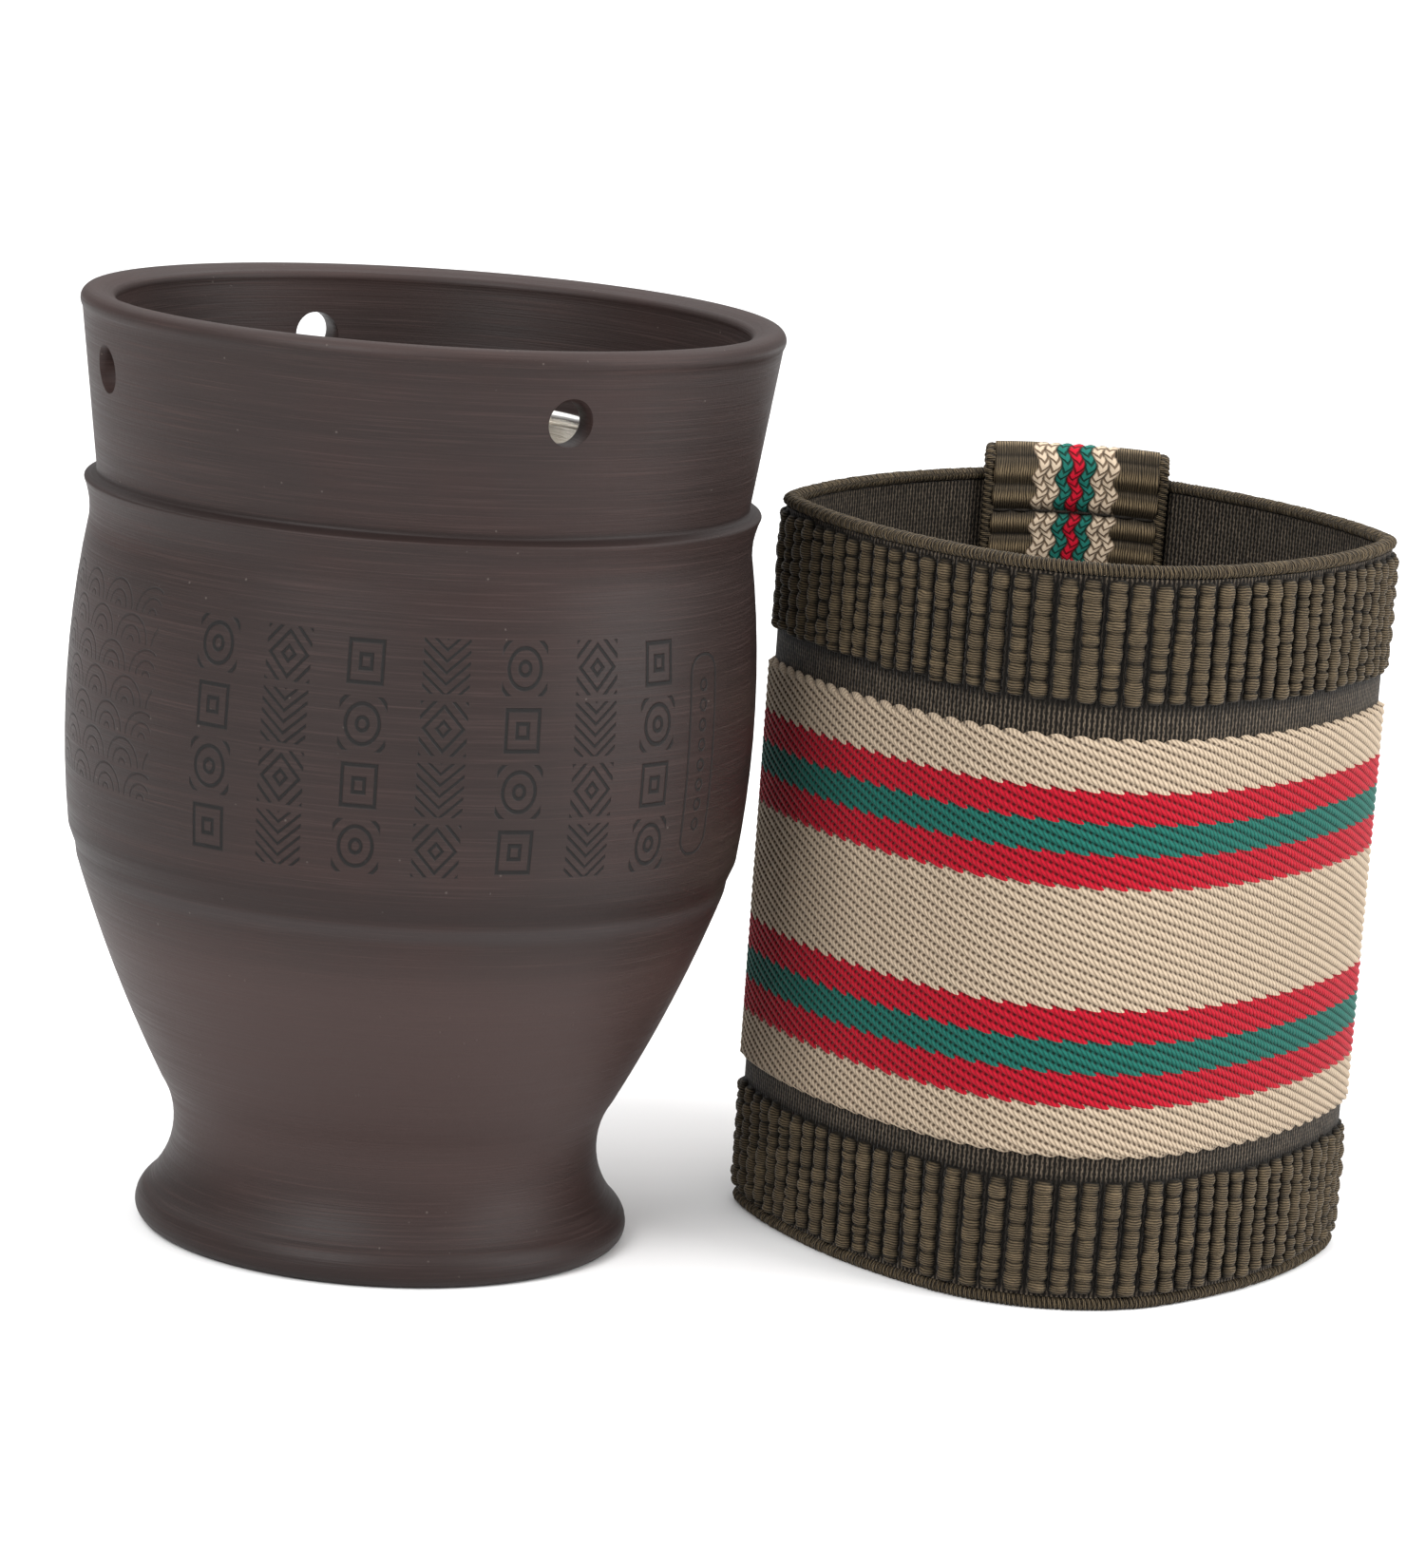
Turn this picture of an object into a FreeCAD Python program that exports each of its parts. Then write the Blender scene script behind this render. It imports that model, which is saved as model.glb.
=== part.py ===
"""Clay warming cup with a steel burner stand inside it, and its knitted sleeve beside it.

Everything is in millimetres. The origin is the middle of the cup's foot, on the table, +Z is up
the cup's axis and +X runs from the cup towards the sleeve.
"""

import FreeCAD
import Part
import Sketcher

import math
import os

DIMENSIONS = (
    # the cup's outside, from the foot up
    ("foot_face_radius", 25.2, "flat underside of the foot"),
    ("foot_edge_bend", 1.7, "round under the foot's edge"),
    ("foot_radius", 26.5, "widest part of the foot"),
    ("foot_edge_level", 2.2, "height of the foot's widest part"),
    ("foot_top_bend", 2.2, "round over the foot's edge"),
    ("foot_top_radius", 25.5, "where the foot turns into the waist"),
    ("foot_top_level", 3.8, "height of that turn"),
    ("waist_bend", 9.8, "hollow of the waist, 22.9 at its narrowest"),
    ("cone_base_radius", 24.6, "bottom of the flaring cone"),
    ("cone_base_level", 16.0, "height of the cone's bottom"),
    ("cone_bend", 154.0, "slight swell of the cone"),
    ("ridge_radius", 34.75, "underside of the turned ridge, where the cone ends"),
    ("ridge_level", 39.6, "height of the ridge's underside"),
    ("ridge_top_radius", 34.95, "top of the ridge"),
    ("ridge_top_level", 40.9, "height of the ridge's top"),
    ("belly_base_radius", 35.75, "bottom of the belly, above the taper to the ridge"),
    ("belly_base_level", 42.9, "height of the belly's bottom"),
    ("belly_bend", 112.0, "swell of the belly, 36.6 at its widest"),
    ("neck_radius", 35.15, "neck under the collar"),
    ("neck_level", 75.8, "height of the neck"),
    ("neck_bend", 9.0, "hollow of the neck"),
    ("collar_radius", 35.95, "edge of the collar"),
    ("collar_level", 80.1, "height of the collar's edge"),
    ("crease_radius", 34.55, "crease above the collar"),
    ("crease_level", 80.7, "height of the crease"),
    ("lip_base_radius", 36.9, "outside of the lip, where its round starts"),
    ("lip_base_level", 98.0, "height of that start"),
    ("lip_bend", 1.25, "outer round of the lip"),
    ("lip_crest_radius", 36.0, "top of the lip"),
    ("cup_height", 100.0, "table to the top of the lip"),
    ("lip_slope_bend", 4.0, "inner slope of the lip"),
    # the cup's inside, from the lip down
    ("mouth_radius", 34.1, "inner edge of the lip"),
    ("mouth_level", 99.4, "height of the inner edge"),
    ("mouth_bend", 0.8, "round below the inner edge"),
    ("throat_top_radius", 33.5, "top of the throat"),
    ("throat_top_level", 98.4, "height of the throat's top"),
    ("throat_radius", 31.0, "narrowest part of the throat"),
    ("throat_level", 80.0, "height of the throat"),
    ("chamber_bend", 120.0, "swell of the chamber inside the belly"),
    ("chamber_base_radius", 31.0, "bottom of the chamber's swell"),
    ("chamber_base_level", 41.0, "height of the chamber's bottom"),
    ("funnel_bend", 150.0, "swell of the funnel inside the cone"),
    ("well_radius", 19.2, "well inside the waist"),
    ("well_top_level", 15.0, "top of the well"),
    ("well_side_level", 8.0, "bottom of the well's wall"),
    ("well_bend", 3.0, "round between the well's wall and floor"),
    ("well_floor_radius", 16.2, "flat floor of the well"),
    ("floor_level", 5.0, "height of the floor above the table"),
    # the air holes
    ("air_hole_radius", 2.25, "air hole through the lip's cone"),
    ("air_hole_level", 92.6, "height of the air holes"),
    ("air_hole_turn", 26.3, "first hole's angle from -Y towards +X"),
    ("air_hole_count", 4, "air holes around the cup"),
    # the burner stand
    ("steel_gauge", 0.5, "sheet steel of the stand"),
    ("foot_gap", 0.3, "play between the stand's feet and the floor"),
    ("strip_half_width", 4.0, "half the width of a leg strip"),
    ("leg_foot_radius", 12.6, "leg's bottom, from the axis"),
    ("leg_top_radius", 17.0, "leg's top, from the axis"),
    ("leg_toe_radius", 15.2, "end of the turned-out foot"),
    ("dish_level", 79.0, "underside of the dish"),
    ("dish_floor_radius", 17.4, "flat floor of the dish"),
    ("dish_bend", 2.0, "outer round of the dish"),
    ("dish_inner_bend", 1.5, "inner round of the dish"),
    ("dish_rim_radius", 19.4, "outside of the dish's wall"),
    ("dish_rim_level", 87.0, "middle of the rolled rim"),
    ("rim_bead_radius", 0.85, "rolled rim"),
    ("screen_radius", 16.6, "outside of the ash screen's skirt"),
    ("screen_level", 82.6, "top of the ash screen"),
    ("screen_hole_radius", 0.9, "hole in the ash screen"),
    ("screen_ring_step", 3.2, "distance between the rings of holes"),
    ("rivet_radius", 1.2, "shank of the spike"),
    ("rivet_play", 0.05, "play around the shank"),
    ("rivet_head_radius", 2.6, "head under the strips"),
    ("rivet_head_height", 0.9, "height of that head"),
    ("spike_collar_height", 0.7, "collar on top of the screen"),
    ("spike_tip_level", 90.0, "top of the spike"),
    ("spike_tip_radius", 0.15, "blunt tip of the spike"),
    ("spike_base_radius", 0.8, "bottom of the spike"),
    # the sleeve: a loop of elastic with a crease left and right, from being stored flat
    ("sleeve_across", 71.8, "sleeve's middle along X"),
    ("sleeve_along", 19.6, "sleeve's middle along Y"),
    ("sleeve_height", 80.0, "width of the elastic"),
    ("nose_radius", 20.0, "bend of the front and the back"),
    ("flank_radius", 60.0, "bend of the flanks"),
    ("flank_centre_across", 24.7, "flank's centre past the middle, along X"),
    ("flank_centre_along", 16.5, "flank's centre past the middle, along Y"),
    ("cloth_half", 0.5, "half the thickness of the elastic"),
    ("rib_height", 0.9, "ribs on the elastic"),
    ("webbing_gauge", 0.7, "striped webbing on the elastic"),
    ("overlock_half", 0.9, "half the thickness of the stitched edge"),
    ("overlock_height", 1.4, "height of the stitched edge"),
    ("lower_ribs_top", 14.4, "top of the lower ribs"),
    ("webbing_bottom", 16.6, "bottom of the webbing"),
    ("webbing_top", 61.8, "top of the webbing"),
    ("upper_ribs_bottom", 65.0, "bottom of the upper ribs"),
    # the tab that covers the sleeve's seam
    ("tab_half_width", 9.45, "half the width of the tab"),
    ("tab_gauge", 1.0, "thickness of the tab"),
    ("tab_bottom", 3.0, "bottom of the tab inside the sleeve"),
    ("tab_turn_bottom", 66.0, "bottom of the tab's end outside the sleeve"),
    ("tab_top", 82.8, "top of the tab's fold"),
    ("tab_edge_half_width", 0.65, "half the width of the tab's stitched edge"),
    ("tab_edge_gauge", 1.4, "thickness of the tab's stitched edge"),
    ("tab_seam_level", 75.0, "stitch line across the tab"),
    ("tab_seam_half_height", 0.3, "half the height of that line"),
    ("thread_gauge", 0.3, "sewing thread"),
)

ORIGIN_POINT = (-1, 1)
H_AXIS = -1
V_AXIS = -2

doc = FreeCAD.newDocument("warming_cup")
sheet = doc.addObject("Spreadsheet::Sheet", "dims")
for row, (alias, number, note) in enumerate(DIMENSIONS, 1):
    sheet.set(f"A{row}", note)
    sheet.set(f"B{row}", str(number))
    sheet.setAlias(f"B{row}", alias)
doc.recompute()


def amount(terms):
    """The value of a sum of cells, such as "cup_height - lip_bend"."""
    total = 0.0
    sign = 1
    for word in terms.split():
        if word in ("+", "-"):
            sign = 1 if word == "+" else -1
        else:
            total += sign * float(sheet.get(word))
    return total


def formula(terms):
    """The same sum as an expression that a property can be bound to."""
    return " ".join(word if word in ("+", "-") else "dims." + word for word in terms.split())


def bind(feature, prop, terms):
    feature.setExpression(prop, formula(terms))


def rise(bottom, top):
    """The sum of cells that leads from one height to another."""
    swapped = {"+": "-", "-": "+"}
    if bottom is None:
        return top
    return top + " - " + " ".join(swapped.get(word, word) for word in bottom.split())


def new_body(label):
    body = doc.addObject("PartDesign::Body", label)
    body.Label = label
    return body


def new_sketch(body, name, plane, level=None):
    """A sketch on one of the body's own origin planes, lifted to a level if there is one."""
    sketch = body.newObject("Sketcher::SketchObject", name)
    support = [item for item in body.Origin.OriginFeatures if item.Role == plane][0]
    sketch.AttachmentSupport = (support, [""])
    sketch.MapMode = "FlatFace"
    if level:
        bind(sketch, "AttachmentOffset.Base.z", level)
    doc.recompute()
    return sketch


def hold(sketch, geometry, end, along, terms):
    """Keep a point at a distance from the sketch's origin, or on its axis where there is none."""
    if terms is None:
        axis = V_AXIS if along == "DistanceX" else H_AXIS
        sketch.addConstraint(Sketcher.Constraint("PointOnObject", geometry, end, axis))
        return
    number = sketch.addConstraint(Sketcher.Constraint(along, *ORIGIN_POINT, geometry, end, amount(terms)))
    bind(sketch, f"Constraints[{number}]", terms)


def hold_radius(sketch, geometry, terms):
    number = sketch.addConstraint(Sketcher.Constraint("Radius", geometry, amount(terms)))
    bind(sketch, f"Constraints[{number}]", terms)


def bent_edge(start, end, radius, bulge):
    """The short arc of a radius between two points; it bulges to the right, or left if hollow."""
    chord = end.sub(start)
    sagitta = radius - math.sqrt(radius ** 2 - (chord.Length / 2) ** 2)
    outward = FreeCAD.Vector(chord.y, -chord.x, 0).normalize()
    side = 1 if bulge == "round" else -1
    middle = start.add(end).multiply(0.5).add(outward.multiply(side * sagitta))
    return Part.Arc(start, middle, end)


def ends_of(sketch, geometry, start):
    """The sketch's numbers for an edge's first and second end, where the first is at start."""
    if sketch.getPoint(geometry, 1).distanceToPoint(start) < 1e-6:
        return 1, 2
    return 2, 1


def outline(sketch, corners):
    """A closed outline. A corner is (across, up) and, where its edge bends, (radius, bulge)."""
    places = []
    for across, up, *bend in corners:
        places.append(FreeCAD.Vector(amount(across or ""), amount(up or ""), 0))
    edges = []
    for index, (across, up, *bend) in enumerate(corners):
        start = places[index]
        end = places[(index + 1) % len(corners)]
        if bend:
            shape = bent_edge(start, end, amount(bend[0]), bend[1])
        else:
            shape = Part.LineSegment(start, end)
        geometry = sketch.addGeometry(shape)
        edges.append((geometry, *ends_of(sketch, geometry, start)))
    for index, (geometry, first, last) in enumerate(edges):
        following, following_first, _ = edges[(index + 1) % len(edges)]
        sketch.addConstraint(Sketcher.Constraint("Coincident", geometry, last, following, following_first))
        across, up, *bend = corners[index]
        hold(sketch, geometry, first, "DistanceX", across)
        hold(sketch, geometry, first, "DistanceY", up)
        if bend:
            hold_radius(sketch, geometry, bend[0])
    doc.recompute()


def circle(sketch, radius, across=None, up=None):
    place = FreeCAD.Vector(amount(across or ""), amount(up or ""), 0)
    geometry = sketch.addGeometry(Part.Circle(place, FreeCAD.Vector(0, 0, 1), amount(radius)))
    hold_radius(sketch, geometry, radius)
    hold(sketch, geometry, 3, "DistanceX", across)
    hold(sketch, geometry, 3, "DistanceY", up)


def turned(body, name, sketch):
    """The sketch turned once around the body's upright axis."""
    revolution = body.newObject("PartDesign::Revolution", name)
    revolution.Profile = sketch
    revolution.ReferenceAxis = (sketch, ["V_Axis"])
    revolution.Angle = 360
    doc.recompute()
    return revolution


def padded(body, name, sketch, length, both_ways=False):
    pad = body.newObject("PartDesign::Pad", name)
    pad.Profile = sketch
    pad.Midplane = both_ways
    bind(pad, "Length", length)
    doc.recompute()
    return pad


def pocketed(body, name, sketch, length, both_ways=False, backwards=False):
    """A pocket that is refused if it takes nothing away."""
    before = body.Shape.Volume
    pocket = body.newObject("PartDesign::Pocket", name)
    pocket.Profile = sketch
    pocket.Midplane = both_ways
    pocket.Reversed = backwards
    bind(pocket, "Length", length)
    doc.recompute()
    if pocket.Shape.Volume > before - 0.1:
        raise RuntimeError(f"{body.Label}: {name} cuts nothing")
    return pocket


def repeated(body, name, feature, count):
    pattern = body.newObject("PartDesign::PolarPattern", name)
    pattern.Originals = [feature]
    pattern.Axis = ([item for item in body.Origin.OriginFeatures if item.Role == "Z_Axis"][0], [""])
    pattern.Angle = 360
    pattern.Occurrences = count
    body.Tip = pattern
    doc.recompute()
    return pattern


def turn_about_axis(degrees):
    return FreeCAD.Placement(FreeCAD.Vector(), FreeCAD.Rotation(FreeCAD.Vector(0, 0, 1), degrees))


def clay_cup():
    """The fired clay cup: a thrown vessel with a foot, a waist, a belly and four air holes."""
    body = new_body("clay_cup")
    profile = new_sketch(body, "cup_profile", "XZ_Plane")
    outline(profile, [
        (None, None),
        ("foot_face_radius", None, "foot_edge_bend", "round"),
        ("foot_radius", "foot_edge_level", "foot_top_bend", "round"),
        ("foot_top_radius", "foot_top_level", "waist_bend", "hollow"),
        ("cone_base_radius", "cone_base_level", "cone_bend", "round"),
        ("ridge_radius", "ridge_level"),
        ("ridge_top_radius", "ridge_top_level"),
        ("belly_base_radius", "belly_base_level", "belly_bend", "round"),
        ("neck_radius", "neck_level", "neck_bend", "hollow"),
        ("collar_radius", "collar_level"),
        ("crease_radius", "crease_level"),
        ("lip_base_radius", "lip_base_level", "lip_bend", "round"),
        ("lip_crest_radius", "cup_height", "lip_slope_bend", "round"),
        ("mouth_radius", "mouth_level", "mouth_bend", "round"),
        ("throat_top_radius", "throat_top_level"),
        ("throat_radius", "throat_level", "chamber_bend", "hollow"),
        ("chamber_base_radius", "chamber_base_level", "funnel_bend", "hollow"),
        ("well_radius", "well_top_level"),
        ("well_radius", "well_side_level", "well_bend", "hollow"),
        ("well_floor_radius", "floor_level"),
        (None, "floor_level"),
    ])
    turned(body, "cup_wall", profile)
    hole = new_sketch(body, "air_hole_circle", "XZ_Plane")
    circle(hole, "air_hole_radius", up="air_hole_level")
    air_hole = pocketed(body, "air_hole", hole, "cup_height", backwards=True)
    repeated(body, "air_holes", air_hole, int(amount("air_hole_count")))
    body.Placement = turn_about_axis(amount("air_hole_turn"))
    return body


def leg_strip(label, top, degrees):
    """One strip of the stand: across under the dish, down both sides and out into two feet."""
    body = new_body(label)
    profile = new_sketch(body, label + "_profile", "XZ_Plane")
    ground = "floor_level + foot_gap"
    outline(profile, [
        (None, top + " - steel_gauge"),
        ("leg_top_radius", top + " - steel_gauge"),
        ("leg_foot_radius", ground),
        ("leg_toe_radius", ground),
        ("leg_toe_radius", ground + " + steel_gauge"),
        ("leg_foot_radius + steel_gauge", ground + " + steel_gauge"),
        ("leg_top_radius + steel_gauge", top),
        (None, top),
    ])
    half = padded(body, label + "_half", profile, "strip_half_width + strip_half_width", both_ways=True)
    whole = body.newObject("PartDesign::Mirrored", label + "_whole")
    whole.Originals = [half]
    whole.MirrorPlane = (profile, ["V_Axis"])
    body.Tip = whole
    doc.recompute()
    hole = new_sketch(body, label + "_hole_circle", "XY_Plane", top)
    circle(hole, "rivet_radius + rivet_play")
    pocketed(body, label + "_hole", hole, "dish_level", both_ways=True)
    body.Placement = turn_about_axis(degrees)
    return body


def burner_dish():
    """The shallow steel dish with a rolled rim."""
    body = new_body("burner_dish")
    inner_floor = "dish_level + steel_gauge"
    profile = new_sketch(body, "dish_profile", "XZ_Plane")
    outline(profile, [
        ("rivet_radius + rivet_play", "dish_level"),
        ("dish_floor_radius", "dish_level", "dish_bend", "round"),
        ("dish_rim_radius", "dish_level + dish_bend"),
        ("dish_rim_radius", "dish_rim_level"),
        ("dish_rim_radius - steel_gauge", "dish_rim_level"),
        ("dish_rim_radius - steel_gauge", "dish_level + dish_bend", "dish_inner_bend", "hollow"),
        ("dish_floor_radius", inner_floor),
        ("rivet_radius + rivet_play", inner_floor),
    ])
    turned(body, "dish_wall", profile)
    bead = new_sketch(body, "rim_bead_circle", "XZ_Plane")
    circle(bead, "rim_bead_radius", across="dish_rim_radius", up="dish_rim_level")
    turned(body, "rim_bead", bead)
    return body


def ash_screen():
    """The perforated screen, a disc with a skirt that stands on the dish's floor."""
    body = new_body("ash_screen")
    underside = "screen_level - steel_gauge"
    profile = new_sketch(body, "screen_profile", "XZ_Plane")
    outline(profile, [
        ("rivet_radius + rivet_play", underside),
        ("screen_radius - steel_gauge", underside),
        ("screen_radius - steel_gauge", "dish_level + steel_gauge"),
        ("screen_radius", "dish_level + steel_gauge"),
        ("screen_radius", "screen_level"),
        ("rivet_radius + rivet_play", "screen_level"),
    ])
    turned(body, "screen_disc", profile)
    radius = "screen_ring_step"
    for ring in range(1, 5):
        hole = new_sketch(body, f"ring_{ring}_circle", "XY_Plane", "screen_level")
        circle(hole, "screen_hole_radius", across=radius)
        first = pocketed(body, f"ring_{ring}_hole", hole, "steel_gauge + steel_gauge")
        repeated(body, f"ring_{ring}", first, 6 * ring)
        radius += " + screen_ring_step"
    return body


def spike_rivet():
    """The spike that the moxa is stuck on; its shank rivets screen, dish and strips together."""
    body = new_body("spike_rivet")
    under_strips = "dish_level - steel_gauge - steel_gauge"
    collar_top = "screen_level + spike_collar_height"
    profile = new_sketch(body, "spike_profile", "XZ_Plane")
    outline(profile, [
        (None, under_strips + " - rivet_head_height"),
        ("rivet_radius", under_strips + " - rivet_head_height"),
        ("rivet_head_radius", under_strips),
        ("rivet_radius", under_strips),
        ("rivet_radius", "screen_level"),
        ("rivet_radius + spike_collar_height", "screen_level"),
        ("rivet_radius", collar_top),
        ("spike_base_radius", collar_top),
        ("spike_tip_radius", "spike_tip_level"),
        (None, "spike_tip_level"),
    ])
    turned(body, "spike_turned", profile)
    return body


def flank_arc(side, depth, growth):
    """A flank of the sleeve, from its crease on the X axis to where the nose begins.

    side is 1 on the right and -1 on the left; depth is -1 at the front and 1 at the back.
    """
    radius = amount("flank_radius" + growth)
    centre = FreeCAD.Vector(-side * amount("flank_centre_across"), -depth * amount("flank_centre_along"), 0)
    nose_turn = math.asin(amount("flank_centre_across") / amount("flank_radius - nose_radius"))
    crease_turn = math.acos(amount("flank_centre_along") / radius)
    points = []
    for turn in (crease_turn, (crease_turn + nose_turn) / 2, nose_turn):
        reach = FreeCAD.Vector(side * math.sin(turn), depth * math.cos(turn), 0)
        points.append(centre.add(reach.multiply(radius)))
    return Part.Arc(*points), points[0], points[2], centre


def sleeve_loop(sketch, growth=""):
    """The sleeve's outline, grown evenly by a sum of cells."""
    flanks = {}
    for depth in (-1, 1):
        for side in (-1, 1):
            shape, crease, tangent_point, centre = flank_arc(side, depth, growth)
            geometry = sketch.addGeometry(shape)
            crease_end, nose_end = ends_of(sketch, geometry, crease)
            flanks[side, depth] = (geometry, crease_end, nose_end, tangent_point)
            hold_radius(sketch, geometry, "flank_radius" + growth)
            for along, offset, terms in (("DistanceX", centre.x, "flank_centre_across"),
                                         ("DistanceY", centre.y, "flank_centre_along")):
                pair = (*ORIGIN_POINT, geometry, 3) if offset > 0 else (geometry, 3, *ORIGIN_POINT)
                number = sketch.addConstraint(Sketcher.Constraint(along, *pair, amount(terms)))
                bind(sketch, f"Constraints[{number}]", terms)
        left, right = flanks[-1, depth], flanks[1, depth]
        nose_middle = FreeCAD.Vector(0, depth * (nose_centre() + amount("nose_radius" + growth)), 0)
        nose = sketch.addGeometry(Part.Arc(left[3], nose_middle, right[3]))
        left_end, right_end = ends_of(sketch, nose, left[3])
        sketch.addConstraint(Sketcher.Constraint("Tangent", nose, left_end, left[0], left[2]))
        sketch.addConstraint(Sketcher.Constraint("Tangent", nose, right_end, right[0], right[2]))
        hold_radius(sketch, nose, "nose_radius" + growth)
    for side in (-1, 1):
        front, back = flanks[side, -1], flanks[side, 1]
        sketch.addConstraint(Sketcher.Constraint("Coincident", front[0], front[1], back[0], back[1]))
    doc.recompute()


def nose_centre():
    """How far the middle of the nose's bend lies in front of the sleeve's middle, or behind it."""
    reach = amount("flank_radius - nose_radius")
    return math.sqrt(reach ** 2 - amount("flank_centre_across") ** 2) - amount("flank_centre_along")


def sleeve_placement():
    return FreeCAD.Placement(
        FreeCAD.Vector(amount("sleeve_across"), amount("sleeve_along"), 0), FreeCAD.Rotation())


def sleeve_band(label, inner, outer, bottom, top):
    """A band around the sleeve, between two outlines and two heights."""
    body = new_body(label)
    loops = new_sketch(body, label + "_loops", "XY_Plane", bottom)
    sleeve_loop(loops, outer)
    sleeve_loop(loops, inner)
    padded(body, label + "_band", loops, rise(bottom, top))
    body.Placement = sleeve_placement()
    return body


def tab_sector(body, name, inner, outer, half_width, bottom, top):
    """A piece of the tab: a strip that follows the bend of the sleeve's back."""
    sketch = new_sketch(body, name + "_outline", "XY_Plane", bottom)
    centre = FreeCAD.Vector(0, nose_centre(), 0)
    half = amount(half_width)
    arcs = []
    for growth in (outer, inner):
        radius = amount("nose_radius" + growth)
        reach = math.sqrt(radius ** 2 - half ** 2)
        right = centre.add(FreeCAD.Vector(half, reach, 0))
        left = centre.add(FreeCAD.Vector(-half, reach, 0))
        geometry = sketch.addGeometry(Part.Arc(right, centre.add(FreeCAD.Vector(0, radius, 0)), left))
        arcs.append((geometry, *ends_of(sketch, geometry, right), right, left))
        hold_radius(sketch, geometry, "nose_radius" + growth)
        sketch.addConstraint(Sketcher.Constraint("Symmetric", geometry, 1, geometry, 2, V_AXIS))
    (outer_arc, outer_right, outer_left, *_), (inner_arc, inner_right, inner_left, *_) = arcs
    sketch.addConstraint(Sketcher.Constraint("DistanceY", *ORIGIN_POINT, outer_arc, 3, centre.y))
    sketch.addConstraint(Sketcher.Constraint("DistanceY", *ORIGIN_POINT, inner_arc, 3, centre.y))
    for outer_end, inner_end, corner in ((outer_right, inner_right, 3), (outer_left, inner_left, 4)):
        side = sketch.addGeometry(Part.LineSegment(arcs[0][corner], arcs[1][corner]))
        sketch.addConstraint(Sketcher.Constraint("Coincident", side, 1, outer_arc, outer_end))
        sketch.addConstraint(Sketcher.Constraint("Coincident", side, 2, inner_arc, inner_end))
    sketch.addConstraint(Sketcher.Constraint("Vertical", side))
    hold(sketch, outer_arc, outer_right, "DistanceX", half_width)
    doc.recompute()
    return padded(body, name, sketch, rise(bottom, top))


def seam_tab():
    """The woven strip over the sleeve's seam, folded over its top edge."""
    body = new_body("seam_tab")
    inside = " - overlock_half"
    outside = " + cloth_half + rib_height"
    tab_sector(body, "tab_inside", inside + " - tab_gauge", inside, "tab_half_width",
               "tab_bottom", "tab_top")
    tab_sector(body, "tab_outside", outside, outside + " + tab_gauge", "tab_half_width",
               "tab_turn_bottom", "tab_top")
    tab_sector(body, "tab_fold", inside + " - tab_gauge", outside + " + tab_gauge", "tab_half_width",
               "sleeve_height", "tab_top")
    body.Placement = sleeve_placement()
    return body


def tab_edge(label, side):
    """The stitched edge along one side of the tab."""
    body = new_body(label)
    inside = " - overlock_half"
    tab_sector(body, label + "_stitches", inside + " - tab_edge_gauge", inside, "tab_edge_half_width",
               "tab_bottom", "sleeve_height")
    reach = amount("tab_half_width + tab_edge_half_width")
    turn = math.degrees(math.asin(reach / amount("nose_radius - overlock_half - tab_edge_gauge")))
    about = FreeCAD.Placement(
        FreeCAD.Vector(), FreeCAD.Rotation(FreeCAD.Vector(0, 0, 1), side * turn),
        FreeCAD.Vector(0, nose_centre(), 0))
    body.Placement = sleeve_placement().multiply(about)
    return body


def tab_stitching():
    """The line of thread that holds the tab to the sleeve."""
    body = new_body("tab_stitching")
    inside = " - overlock_half - tab_gauge"
    tab_sector(body, "thread_line", inside + " - thread_gauge", inside, "tab_half_width",
               "tab_seam_level", "tab_seam_level + tab_seam_half_height + tab_seam_half_height")
    body.Placement = sleeve_placement()
    return body


parts = [
    clay_cup(),
    leg_strip("upper_leg_strip", "dish_level", 45),
    leg_strip("lower_leg_strip", "dish_level - steel_gauge", 135),
    burner_dish(),
    ash_screen(),
    spike_rivet(),
    sleeve_band("elastic_ground", " - cloth_half", " + cloth_half",
                "overlock_height", "sleeve_height - overlock_height"),
    sleeve_band("upper_rib_band", " + cloth_half", " + cloth_half + rib_height",
                "upper_ribs_bottom", "sleeve_height - overlock_height"),
    sleeve_band("lower_rib_band", " + cloth_half", " + cloth_half + rib_height",
                "overlock_height", "lower_ribs_top"),
    sleeve_band("striped_webbing", " + cloth_half", " + cloth_half + webbing_gauge",
                "webbing_bottom", "webbing_top"),
    sleeve_band("top_edge_overlock", " - overlock_half", " + overlock_half",
                "sleeve_height - overlock_height", "sleeve_height"),
    sleeve_band("bottom_edge_overlock", " - overlock_half", " + overlock_half",
                None, "overlock_height"),
    seam_tab(),
    tab_edge("left_tab_overlock", 1),
    tab_edge("right_tab_overlock", -1),
    tab_stitching(),
]

doc.recompute()
for item in doc.Objects:
    if "Invalid" in item.State or "Error" in item.State:
        raise RuntimeError(f"{item.Label} did not compute: {item.State}")
for part in parts:
    if part.Shape.isNull() or not part.Shape.isValid():
        raise RuntimeError(f"{part.Label} has no valid shape")

os.makedirs("parts", exist_ok=True)
for part in parts:
    part.Shape.exportStep(f"parts/{part.Label}.step")
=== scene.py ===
"""Looks of the clay warming cup, its burner stand and its elastic sleeve, laid out as an add-on."""

from collections import Counter, defaultdict
import math
import random

import bmesh
import bpy
from mathutils import Matrix, Vector


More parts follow.
